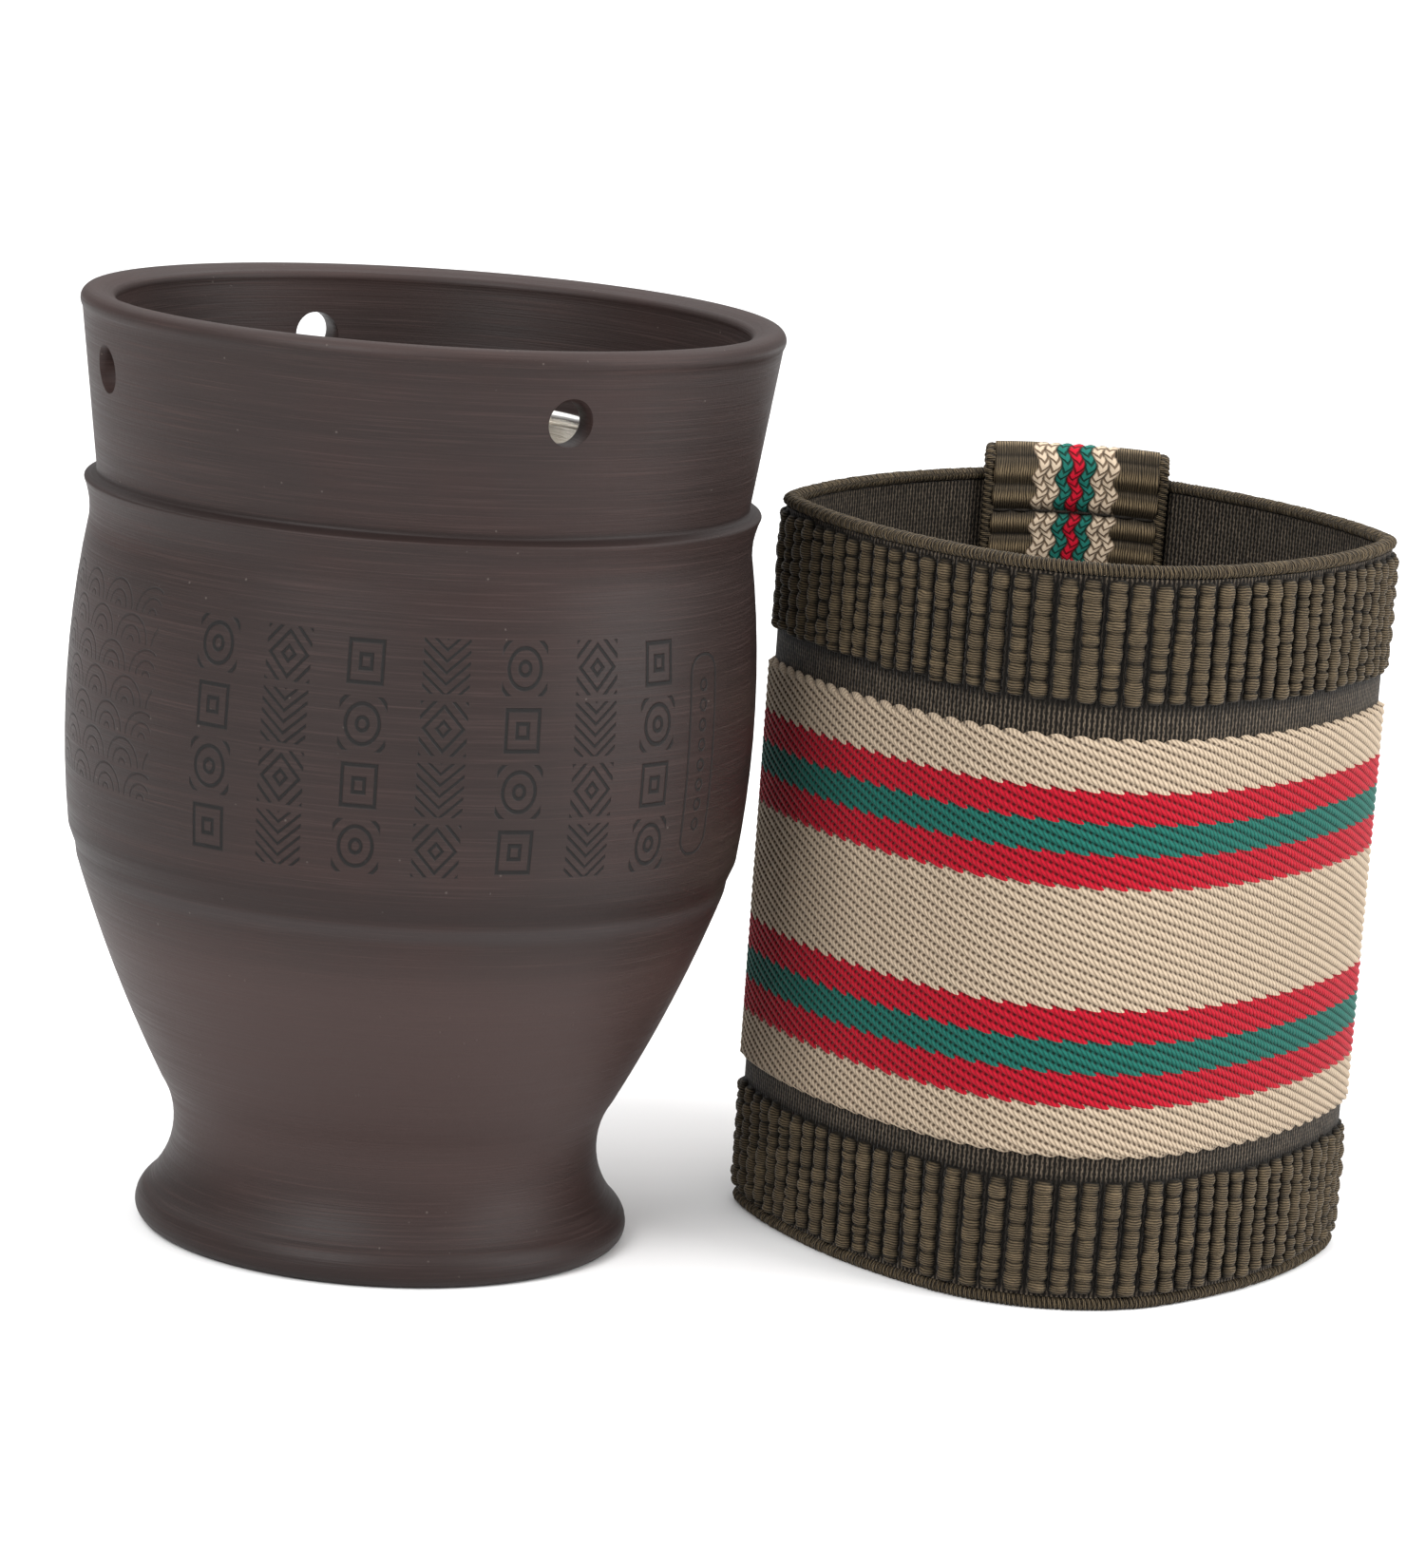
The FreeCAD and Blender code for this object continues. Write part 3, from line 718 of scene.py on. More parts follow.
class WARMCUP_OT_burner_stand(bpy.types.Operator):
    """Give the steel pieces of the burner stand their finishes"""
    bl_idname = "warmcup.burner_stand"
    bl_label = "Burner stand"

    def execute(self, context):
        steel = context.scene.warmcup_steel
        polished = steel_paint("polished_steel", steel, steel.polished, 0.35, 0.10, CROSSWISE)
        screen = steel_paint("screen_steel", steel, steel.polished, 0.7, 0.22, CROSSWISE)
        spring = steel_paint("spring_steel", steel, steel.brushed, 0.15, 0.26, LENGTHWISE)
        paints = {
            "burner_dish": polished, "spike_rivet": polished, "ash_screen": screen,
            "upper_leg_strip": spring, "lower_leg_strip": spring,
        }
        for name, paint in paints.items():
            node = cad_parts[name]
            node.data.materials.clear()
            node.data.materials.append(paint.material)
        return {"FINISHED"}


# The sleeve

CREASE_PINCH = 0.05
RIB_THREAD = 0.27  # millimetres between two threads
EDGE_THREAD = 0.21
SEWING_THREAD = 0.12


class Outline:
    """The sleeve's outline as a function of the distance walked round it from the left crease."""

    def __init__(self, sleeve):
        low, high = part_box("elastic_ground")
        self.middle = (Vector(low) + Vector(high)) / 2
        self.nose = sleeve.nose_radius
        self.flank = sleeve.flank_radius
        self.across = sleeve.flank_across
        self.along = sleeve.flank_along
        self.nose_turn = math.asin(self.across / (self.flank - self.nose))
        self.crease_turn = math.acos(self.along / self.flank)
        self.nose_centre = math.sqrt((self.flank - self.nose) ** 2 - self.across ** 2) - self.along
        self.flank_length = self.flank * (self.crease_turn - self.nose_turn)
        self.half_length = 2 * (self.flank_length + self.nose * self.nose_turn)
        self.length = 2 * self.half_length
        self.soft = sleeve.crease_round

    def at(self, walk):
        """(place on the cloth's middle, outward direction), front first, then the back."""
        walk %= self.length
        half, walk = divmod(walk, self.half_length)
        mirrored = -1 if half else 1
        left = walk < self.half_length / 2
        rest = walk if left else self.half_length - walk
        if rest < self.flank_length:
            turn = self.crease_turn - rest / self.flank
            centre = Vector((self.across, self.along, 0))
            radius = self.flank
        else:
            turn = self.nose_turn - (rest - self.flank_length) / self.nose
            centre = Vector((0, -self.nose_centre, 0))
            radius = self.nose
        outward = Vector((-math.sin(turn), -math.cos(turn), 0))
        place = centre + outward * radius
        if rest < self.soft:
            place, outward = self.crease(rest, place, outward)
        if not left:
            place.x, outward.x = -place.x, -outward.x
        place *= mirrored
        outward = outward * mirrored
        place.x += self.middle.x
        place.y += self.middle.y
        return place, outward

    def crease(self, rest, place, outward):
        """Near a crease the cloth turns over a short bend."""
        share = 1 - rest / self.soft
        lean = outward.lerp(Vector((-1, 0, 0)), share * share).normalized()
        place = place + Vector((share ** 3 * self.soft * CREASE_PINCH, 0, 0))
        return place, lean


def cloth_finish(paint):
    """The shine that all of the sleeve's yarns share."""
    paint.set(sheen_weight=0.05, sheen_roughness=0.4)
    paint.shine(0.12)


def yarn_paint(name, shade, thread_pitch, counted):
    """Yarn wound in fine parallel threads, which are counted across the piece or up it.
    Painted shade lies between the threads and in the gaps, and a painted highlight on the threads'
    crests.
    """
    paint = Paint(name)
    across, up = paint.layout()
    wobble = paint.noise(paint.join(across * 0.8, up * 0.8), 1.0, detail=3)
    if counted == "across":
        phase = across / thread_pitch + up * 0.25
    else:
        phase = up / thread_pitch + across * 0.12
    thread = (phase + wobble * 1.5).wave()
    fuzz = paint.fuzz(5200)
    tone = paint.noise(paint.place(), 620, detail=3, roughness=0.65)
    light = toned(shade, 2.1)
    # Painted shade between the threads.
    mixed = paint.mix(thread.ramp(0.05, 0.75), toned(shade, 0.16), shade)
    mixed = paint.mix(tone.ramp(0.46, 0.74) * 0.55 * (thread * 0.7 + 0.3), mixed, light)
    # Painted highlight on the threads' crests.
    mixed = paint.mix(thread.ramp(0.80, 1.0) * 0.30, mixed, light)
    mixed = paint.mix(fuzz.ramp(0.60, 0.80) * 0.35, mixed, light)
    # Painted shade by depth, in the creases and gaps beside a rib or a stitch.
    mixed = paint.mix(paint.depth().ramp(0.12, 0.85) * 0.96, mixed, toned(shade, 0.05))
    paint.set(base_color=mixed, roughness=0.72 - thread * 0.14,
              normal=paint.bump(thread * 0.7 + fuzz * 0.45, 0.12 * MM))
    cloth_finish(paint)
    return paint


def ground_paint(sleeve):
    """Fine upright rows of knitted stitches, as the bare elastic shows on both sides.
    The gaps between stitches and the ground under the ribs are painted shade.
    """
    lane_pitch, stitch_pitch = 0.52, 0.95
    paint = Paint("elastic_knit")
    across, up = paint.layout()
    place = paint.place()
    wobble = paint.noise(place, 700)
    rows = across / lane_pitch + wobble * 0.3
    stitch = (up / stitch_pitch + rows.whole() * 0.5 + wobble * 0.5).wave()
    fuzz = paint.fuzz(4200)
    thread = rows.wave().ramp(0.25, 0.8) * (stitch.ramp(0.0, 0.45) * 0.75 + 0.25)
    tone = paint.noise(place, 1300)
    knit = sleeve.ground
    # Painted shade between the stitches, mixed with a random tone.
    mixed = paint.mix(thread * tone.ramp(0.12, 0.55), toned(knit, 0.14), toned(knit, 2.5))
    mixed = paint.mix(thread * tone.ramp(0.54, 0.72) * 0.5, mixed, toned(knit, 5))
    mixed = paint.mix(fuzz.ramp(0.60, 0.82) * 0.4, mixed, sleeve.olive)
    # Painted shade by depth, darkest on the ground under the ribs.
    mixed = paint.mix(paint.depth() * 0.88, mixed, toned(knit, 0.08))
    paint.set(base_color=mixed, roughness=0.8 - thread * 0.15,
              normal=paint.bump(thread * 0.8 + fuzz * 0.3, 0.16 * MM))
    cloth_finish(paint)
    return paint


GROUND_COLUMNS_PER_RIB = 4
GROUND_ROWS = 80


class WARMCUP_OT_elastic_ground(bpy.types.Operator):
    """Knit the sleeve's ground, the loop that carries the ribs and the webbing"""
    bl_idname = "warmcup.elastic_ground"
    bl_label = "Elastic ground"

    def execute(self, context):
        sleeve = context.scene.warmcup_sleeve
        outline = Outline(sleeve)
        low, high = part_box("elastic_ground")
        columns = GROUND_COLUMNS_PER_RIB * sleeve.rib_count
        bands = [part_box("upper_rib_band"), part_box("lower_rib_band")]
        cloth = Surface()
        for side in (1, -1):

            def shape(column, row):
                level = low[2] + (high[2] - low[2]) * row / GROUND_ROWS
                # The outer ground under the rib bands gets full depth, which paints it dark as
                # painted shade between the ribs.
                under_ribs = any(start[2] < level < end[2] - 0.4 * MM for start, end in bands)
                depth = 1.0 if side > 0 and under_ribs else 0.0
                walk = outline.length * column / columns
                return walk, level, side * sleeve.cloth_half, depth

            cloth.wrap(outline, columns, GROUND_ROWS, shape, flipped=side < 0)
        inner = (GROUND_ROWS + 1) * columns
        for rim_row in (0, GROUND_ROWS):
            for column in range(columns):
                first = rim_row * columns + column
                second = rim_row * columns + (column + 1) % columns
                cloth.face((second, first, inner + first, inner + second), flipped=rim_row > 0)
        piece = cloth.piece("elastic_ground_cloth", outline.length / MM)
        finish_piece(piece, "elastic_ground", ground_paint(sleeve), smooth=40)
        return {"FINISHED"}


RIB_STEPS = 64
RIB_CORNERS = 9
KNOT_SPAN = (4.5, 11)  # steps
KNOT_SIZE = (0.84, 1.06)
KNOT_CREASE = (0.22, 0.58)


def rib_swell(chance):
    """How full a rib is at each step of its height: threads bunch into knots, creased between."""
    swell = [1.0] * (RIB_STEPS + 1)
    start = -chance.uniform(0, 3)
    while start < RIB_STEPS:
        span = chance.uniform(*KNOT_SPAN)
        size = chance.uniform(*KNOT_SIZE)
        crease = chance.uniform(*KNOT_CREASE)
        for step in range(RIB_STEPS + 1):
            share = (step - start) / span
            if 0 <= share < 1:
                swell[step] = size * (1 - crease + crease * math.sin(math.pi * share) ** 0.4)
        start += span
    return swell


def rib_band(outline, sleeve, node, seed):
    """A row of upright ribs, each a half-round padded cord with rounded ends."""
    tip_length, sunk, waver = 0.9 * MM, 0.1 * MM, 0.025 * MM
    low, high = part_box(node)
    chance = random.Random(seed)
    ribs = Surface()
    pitch = outline.length / sleeve.rib_count
    for rib in range(sleeve.rib_count):
        swell = rib_swell(chance)
        lean = chance.uniform(-0.14, 0.14) * MM
        bottom = low[2] + chance.uniform(0, 0.45) * MM
        top = high[2] - chance.uniform(0.1, 0.5) * MM
        first = len(ribs.points)
        for step in range(RIB_STEPS + 1):
            share = step / RIB_STEPS
            level = bottom + (top - bottom) * share
            from_end = min(level - bottom, top - level) / tip_length
            tip = math.sqrt(max(0.0, 1 - (1 - min(1.0, from_end)) ** 2)) * 0.85 + 0.15
            drift = lean * math.sin(3 * share + rib) + chance.uniform(-1, 1) * waver
            for corner in range(RIB_CORNERS):
                turn = math.pi * corner / (RIB_CORNERS - 1)
                rough = swell[step] * (1 + chance.uniform(-0.03, 0.03))
                half_width = sleeve.rib_width / 2 * (0.45 + 0.55 * rough) * (0.6 + 0.4 * tip)
                walk = (rib + 0.5) * pitch + drift - half_width * math.cos(turn)
                stand = sleeve.rib_height * math.sin(turn) * tip * rough
                # The crest sets the depth, which paints the rib's sides and the creases between
                # knots in shade.
                crest = math.sin(turn) ** 0.55 * tip * (1.8 * swell[step] - 0.35)
                ribs.stand_off(outline, walk, level, sleeve.cloth_half - sunk + stand,
                               min(1.0, max(0.0, 1.35 - crest)))
        ribs.tube(first, RIB_CORNERS, RIB_STEPS)
    return ribs.piece(node + "_cords", outline.length / MM)


class WARMCUP_OT_rib_bands(bpy.types.Operator):
    """Lay the upper and the lower row of ribs on the elastic"""
    bl_idname = "warmcup.rib_bands"
    bl_label = "Rib bands"

    def execute(self, context):
        sleeve = context.scene.warmcup_sleeve
        outline = Outline(sleeve)
        paint = yarn_paint("rib_yarn", sleeve.olive, RIB_THREAD, "up")
        for seed, node in enumerate(("upper_rib_band", "lower_rib_band")):
            piece = rib_band(outline, sleeve, node, 11 + seed)
            finish_piece(piece, node, paint)
        return {"FINISHED"}


STRIPES = (("beige", 5.8), ("red", 3.4), ("green", 3.3), ("red", 3.6), ("beige", 13.0),
           ("red", 3.5), ("green", 3.4), ("red", 3.6), ("beige", 5.6))
FLOATS_PER_LINE = 4
LINE_STEPS = 8
WEBBING_ROWS = 96


def webbing_paint(sleeve, outline, low, high):
    """Striped twill: short plump floats on descending lines, with dark dashes between them.
    The floats' middles carry a painted highlight; the dashes, the floats' ends and the tucked edges
    are painted shade.
    """
    paint = Paint("striped_twill")
    across, up = paint.layout()
    pitch = outline.length / sleeve.rib_count / MM
    down = high[2] / MM - up
    wobble = paint.noise(paint.place(), 420)
    line = (across / pitch - down / (sleeve.twill_step / MM) + wobble * 0.22).part()
    from_middle = abs(line - 0.5) * 2
    warp = across * (FLOATS_PER_LINE / pitch) + wobble * 0.5
    floats = (warp + (line - 0.5) * 1.25).wave()

    stain = down + from_middle * from_middle * 0.5
    scale = (high[2] - low[2]) / MM / sum(width for _, width in STRIPES)
    shade, edge = getattr(sleeve, STRIPES[0][0]), STRIPES[0][1]
    for stripe, width in STRIPES[1:]:
        shade = paint.mix(stain > edge * scale, shade, getattr(sleeve, stripe))
        edge += width
    fuzz = paint.fuzz(4600)
    fibres = (up / 0.11 + across * 0.9).wave()
    groove = from_middle.ramp(0.58, 0.98) * (warp.wave() * 0.80 + 0.20)
    seam = 1 - floats.ramp(0.02, 0.42)
    dark = paint.tinted(shade, (0.16, 0.125, 0.10))
    dull = paint.tinted(shade, (0.62, 0.58, 0.54))
    pale = paint.tinted(shade, (1.32, 1.30, 1.27))
    # Painted highlight on the floats' middles.
    mixed = paint.mix((1 - from_middle) * floats * 0.75, shade, pale)
    # Painted shade at the floats' ends.
    mixed = paint.mix(seam * 0.75, mixed, dull)
    # Painted shade in the dashes between the twill lines.
    mixed = paint.mix(groove, mixed, dark)
    # Painted shade by depth, at the tucked edges and between the lines.
    mixed = paint.mix(paint.depth() * 0.8, mixed, dark)
    mixed = paint.mix(fuzz.ramp(0.58, 0.80) * 0.25, mixed, pale)
    height = (1 - groove) * 0.9 + floats.ramp(0.0, 0.6) * 0.5 + fibres * 0.08 + fuzz * 0.15
    paint.set(base_color=mixed, roughness=0.62 + groove * 0.2 + fuzz * 0.1,
              normal=paint.bump(height, 0.16 * MM))
    cloth_finish(paint)
    return paint


class WARMCUP_OT_striped_webbing(bpy.types.Operator):
    """Weave the striped twill webbing, whose lines end in a scalloped edge"""
    bl_idname = "warmcup.striped_webbing"
    bl_label = "Striped webbing"

    def execute(self, context):
        sleeve = context.scene.warmcup_sleeve
        outline = Outline(sleeve)
        low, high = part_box("striped_webbing")
        columns = sleeve.rib_count * LINE_STEPS
        pitch = outline.length / sleeve.rib_count
        slope = pitch / sleeve.twill_step
        tall = high[2] - low[2]
        scallop_reach, edge_round = 1.2 * MM, 0.5 * MM

        def shape(column, row):
            """The grid follows the twill lines; its lowest and highest rows tuck under the edge."""
            share = min(1.0, max(0.0, (row - 1) / (WEBBING_ROWS - 2)))
            from_edge = min(share, 1 - share) * tall
            ridge = abs(math.sin(math.pi * column / LINE_STEPS)) ** 0.7
            level = low[2] + tall * share
            walk = pitch * column / LINE_STEPS + (high[2] - level) * slope
            near_edge = max(0.0, 1 - from_edge / scallop_reach)
            level += sleeve.scallop * (1 - ridge) * near_edge * (1 if share < 0.5 else -1)
            # The depth given here paints the tucked edge rows and the hollows between the twill
            # lines in shade.
            if row in (0, WEBBING_ROWS):
                return walk, level, sleeve.cloth_half - 0.05 * MM, 1.0
            swell = math.sqrt(1 - (1 - min(1.0, from_edge / edge_round)) ** 2)
            stand = sleeve.webbing_gauge * (0.15 + swell * (0.55 + 0.40 * ridge))
            return walk, level, sleeve.cloth_half + stand, 0.35 * (1 - ridge)

        webbing = Surface()
        webbing.wrap(outline, columns, WEBBING_ROWS, shape)
        piece = webbing.piece("striped_webbing_twill", outline.length / MM)
        finish_piece(piece, "striped_webbing",
                     webbing_paint(sleeve, outline, low, high))
        return {"FINISHED"}


EDGE_CORNERS = 12
WRAP_STEPS = 5


def wrapped_swell(wrap, corner, jitter):
    """How far the edge's stitches stand out: each wraps round the edge on a slant."""
    phase = wrap + 1.7 * corner / EDGE_CORNERS
    ridge = abs(math.sin(math.pi * phase)) ** 0.8
    return 0.72 + 0.34 * ridge + jitter[int(wrap) % len(jitter)], ridge


def overlocked_loop(outline, sleeve, node, seed):
    """The sleeve's rolled edge, wound with slanting stitches."""
    low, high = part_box(node)
    middle = (low[2] + high[2]) / 2
    half_tall = (high[2] - low[2]) / 2
    chance = random.Random(seed)
    wraps = round(outline.length / sleeve.stitch_pitch)
    columns = wraps * WRAP_STEPS
    jitter = [chance.uniform(-0.05, 0.05) for _ in range(wraps)]

    def shape(column, row):
        turn = TAU * row / EDGE_CORNERS
        swell, ridge = wrapped_swell(column / WRAP_STEPS, row, jitter)
        level = middle - half_tall * swell * math.sin(turn)
        growth = -sleeve.edge_radius * swell * math.cos(turn)
        # The depth paints the hollows between the stitches in shade.
        return outline.length * column / columns, level, growth, 1.05 * (1 - ridge)

    edge = Surface()
    edge.wrap(outline, columns, EDGE_CORNERS - 1, shape)
    last = (EDGE_CORNERS - 1) * columns
    for column in range(columns):
        following = (column + 1) % columns
        edge.face((last + column, last + following, following, column))
    edge.layouts = [(across, index // columns * 0.45)
                    for index, (across, _) in enumerate(edge.layouts)]
    return edge.piece(node + "_stitches", outline.length / MM)


class WARMCUP_OT_edge_overlocks(bpy.types.Operator):
    bl_idname = "warmcup.edge_overlocks"
    bl_label = "Edge overlocks"

    def execute(self, context):
        sleeve = context.scene.warmcup_sleeve
        outline = Outline(sleeve)
        paint = yarn_paint("edge_yarn", sleeve.olive, EDGE_THREAD, "across")
        edges = []
        for seed, node in enumerate(("top_edge_overlock", "bottom_edge_overlock")):
            piece = overlocked_loop(outline, sleeve, node, seed)
            edges.append(finish_piece(piece, node, paint))
        ribs = [bpy.data.objects[name] for name in ("upper_rib_band_cords", "lower_rib_band_cords")]
        ribs + edges
        return {"FINISHED"}


# The seam tab

class TabPath:
    """The tab's way: up inside the sleeve, over its top edge and down the outside of its back."""

    def __init__(self, sleeve, outline):
        low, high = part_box("seam_tab")
        self.outline = outline
        self.middle = outline.half_length * 1.5
        self.half_width = (high[0] - low[0]) / 2
        self.bottom = low[2]
        self.inside = -(sleeve.edge_radius + sleeve.tab_gauge / 2)
        self.outside = sleeve.cloth_half + sleeve.rib_height + sleeve.tab_gauge / 2
        self.fold_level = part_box("top_edge_overlock")[1][2]
        self.fold_rise = high[2] - sleeve.tab_gauge / 2 - self.fold_level
        self.fold_half = (self.outside - self.inside) / 2
        self.inside_length = self.fold_level - self.bottom
        self.fold_length = math.pi * math.sqrt((self.fold_rise ** 2 + self.fold_half ** 2) / 2)
        self.outside_length = self.fold_level - sleeve.tab_end
        self.length = self.inside_length + self.fold_length + self.outside_length

    def section(self, run):
        """(level, growth, the face's direction as (up, out)) after a length from the lower end."""
        if run < self.inside_length:
            return self.bottom + run, self.inside, (0.0, -1.0)
        run -= self.inside_length
        if run < self.fold_length:
            turn = math.pi * run / self.fold_length
            level = self.fold_level + self.fold_rise * math.sin(turn)
            growth = self.inside + self.fold_half * (1 - math.cos(turn))
            return level, growth, (math.sin(turn), -math.cos(turn))
        return self.fold_level - (run - self.fold_length), self.outside, (0.0, 1.0)

    def at(self, across, run, stand):
        """A point across the tab, a run from its lower end and a stand off its middle."""
        level, growth, (up, out) = self.section(run)
        growth += out * stand
        turn = math.asin(across / (self.outline.nose + growth))
        place, outward = self.outline.at(self.middle - turn * self.outline.nose)
        place = place + outward * growth
        return place.x, place.y, level + up * stand


CHAIN_WIDTH = 1.34  # millimetres
CHAINS = 7
BRAID_SWAY = 0.35  # millimetres
TAB_COLUMNS = 57
TAB_ROW = 0.38 * MM
FACE_SHARE = 0.12  # of the tab's thickness, from its middle to the foot of the relief
THREAD_CORNERS = 6
THREAD_STEPS = 6


def tab_relief(sleeve, path, across, run):
    """(height, depth) of the tab's face: rows of padded ribs beside a braid of chains."""
    satin_height, chain_foot, chain_height, chain_lift = 0.62 * MM, 0.20 * MM, 0.30 * MM, 0.12 * MM
    seam_half, seam_depth = 0.55 * MM, 0.45 * MM
    beside = across + BRAID_SWAY * MM * math.sin(TAU * run / sleeve.tab_rib_pitch)
    row = (run / sleeve.tab_rib_pitch) % 1.0
    crest = max(0.0, 1 - abs(2 * row - 1) ** 2.6)
    if abs(beside) < CHAINS * CHAIN_WIDTH / 2 * MM:
        chain = (beside / (CHAIN_WIDTH * MM) + 0.5) % 1.0
        round_chain = math.sin(math.pi * chain) ** 0.6
        height = chain_foot + chain_height * round_chain + chain_lift * crest
        depth = 0.75 * (1 - round_chain)
    else:
        height = satin_height * crest ** 0.6
        depth = 1 - crest ** 0.45
    # The seam's groove gets depth, which paints it in shade.
    from_seam = abs(run - (sleeve.tab_seam - path.bottom)) / seam_half
    pull = math.exp(-from_seam ** 2)
    return height - seam_depth * pull, max(depth, 0.8 * pull)


def tab_paint(sleeve):
    """Olive satin ribs on both sides of a braid in beige, green and red.
    The braid's stitches are painted lit and their gaps painted in shade; the satin has painted
    shade between its threads, a painted highlight on the ribs' crests and painted shade in the
    grooves.
    """
    paint = Paint("tab_weave")
    across, run = paint.layout()
    pitch = sleeve.tab_rib_pitch / MM
    fuzz = paint.fuzz(5000)

    beside = across + (run * (TAU / pitch)).sine() * BRAID_SWAY
    chain = beside / CHAIN_WIDTH + 0.5
    chain_number = abs(chain.whole())
    from_middle = abs(chain.part() - 0.5)
    shade = paint.mix(chain_number > 0.5, sleeve.red, sleeve.green)
    shade = paint.mix(chain_number > 1.5, shade, sleeve.beige)
    slant = run / 0.78 - from_middle * 1.5
    stitch = slant.wave().ramp(0.02, 0.45) * (1 - (from_middle * 2).ramp(0.66, 1.0) * 0.85)
    # The stitches are painted lit and the gaps between them painted in shade.
    dark = paint.tinted(shade, (0.34, 0.29, 0.25))
    braided = paint.mix(stitch, dark, paint.tinted(shade, (1.3, 1.3, 1.3)))
    pale = paint.tinted(shade, (1.3, 1.28, 1.25))
    braided = paint.mix(fuzz.ramp(0.52, 0.78) * stitch * 0.5, braided, pale)

    wobble = paint.noise(paint.join(across * 1.1, run * 0.35), 1.0, detail=3)
    thread = (across / RIB_THREAD + wobble * 2.2).wave()
    crest = 1 - abs((run / pitch).part() * 2 - 1)
    # Painted shade between the satin's threads, and a painted highlight on the ribs' crests.
    satin = paint.mix(thread.ramp(0.05, 0.8), toned(sleeve.olive, 0.14), toned(sleeve.olive, 0.75))
    satin = paint.mix(crest.ramp(0.45, 1.0) * (thread * 0.75), satin, toned(sleeve.olive, 3.2))

    braid = abs(beside).line(CHAINS * CHAIN_WIDTH, 0.06)
    mixed = paint.mix(braid, satin, braided)
    # Painted shade by depth, in the grooves between ribs and chains and in the seam.
    mixed = paint.mix(paint.depth().ramp(0.15, 0.85) * 0.94, mixed, toned(sleeve.olive, 0.06))
    height = braid * stitch * 0.9 + (1 - braid) * thread * 0.35 + fuzz * 0.2
    paint.set(base_color=mixed, roughness=0.62 - (1 - braid) * thread * 0.16 + fuzz * 0.1,
              normal=paint.bump(height, 0.14 * MM))
    cloth_finish(paint)
    return paint


def tab_cloth(sleeve, path):
    """The tab as a closed sheet: its patterned face, its plain back and the four rims."""
    rows = round(path.length / TAB_ROW)
    cloth = Surface()
    for side in (1, -1):
        first = len(cloth.points)
        for row in range(rows + 1):
            run = path.length * row / rows
            for column in range(TAB_COLUMNS):
                across = path.half_width * (2 * column / (TAB_COLUMNS - 1) - 1)
                if side == 1:
                    height, depth = tab_relief(sleeve, path, across, run)
                    stand = sleeve.tab_gauge * FACE_SHARE + height
                else:
                    stand, depth = -sleeve.tab_gauge / 2, 0.0
                cloth.add(path.at(across, run, stand), across / MM, run / MM, depth)
        cloth.grid(first, TAB_COLUMNS, rows, flipped=side < 0)
    back = (rows + 1) * TAB_COLUMNS
    ring = list(range(TAB_COLUMNS))
    ring += [row * TAB_COLUMNS + TAB_COLUMNS - 1 for row in range(1, rows + 1)]
    ring += [rows * TAB_COLUMNS + column for column in range(TAB_COLUMNS - 2, -1, -1)]
    ring += [row * TAB_COLUMNS for row in range(rows - 1, 0, -1)]
    for here, there in zip(ring, ring[1:] + ring[:1]):
        cloth.face((there, here, back + here, back + there))
    return cloth.piece("seam_tab_cloth")


def tab_overlock(sleeve, path, node, side, seed):
    """The stitched edge along one side of the tab, wound as the sleeve's own edges are."""
    chance = random.Random(seed)
    wraps = round(path.length / sleeve.tab_stitch_pitch)
    rows = wraps * WRAP_STEPS
    jitter = [chance.uniform(-0.06, 0.06) for _ in range(wraps)]
    middle = side * (path.half_width + sleeve.tab_edge_radius * 0.6)
    edge = Surface()
    for row in range(rows + 1):
        run = path.length * row / rows
        closing = min(1.0, min(run, path.length - run) / (0.6 * MM) + 0.3)
        for corner in range(EDGE_CORNERS):
            turn = TAU * corner / EDGE_CORNERS
            swell, ridge = wrapped_swell(row / WRAP_STEPS, corner, jitter)
            reach = sleeve.tab_edge_radius * closing * swell
            point = path.at(middle - reach * math.sin(turn), run, -0.8 * reach * math.cos(turn))
            # The depth paints the hollows between the stitches in shade.
            edge.add(point, run / MM, corner * 0.4, 1.05 * (1 - ridge))
    edge.tube(0, EDGE_CORNERS, rows)
    return edge.piece(node + "_stitches")


def tab_thread(sleeve, path):
    """The backstitches across the tab, each a short bowed thread lying in the seam's groove."""
    gap, bow_height = 0.08, 0.22 * MM
    thread = Surface()
    count = round(2 * path.half_width / sleeve.backstitch)
    run = sleeve.tab_seam - path.bottom
    for stitch in range(count):
        start = -path.half_width + 2 * path.half_width * (stitch + gap) / count
        reach = 2 * path.half_width * (1 - 2 * gap) / count
        first = len(thread.points)
        for step in range(THREAD_STEPS + 1):
            share = step / THREAD_STEPS
            bow = math.sin(math.pi * share)
            across = start + reach * share
            radius = sleeve.thread_radius * (0.5 + 0.5 * bow)
            for corner in range(THREAD_CORNERS):
                turn = TAU * corner / THREAD_CORNERS
                stand = sleeve.tab_gauge * FACE_SHARE + bow_height * bow + radius * math.sin(turn)
                point = path.at(across, run + radius * math.cos(turn), stand)
                # The thread's sunk ends get depth, which paints them in shade.
                thread.add(point, across / MM, corner * 0.2, 0.6 * (1 - bow))
        thread.tube(first, THREAD_CORNERS, THREAD_STEPS, flipped=True)
    return thread.piece("tab_stitching_thread")


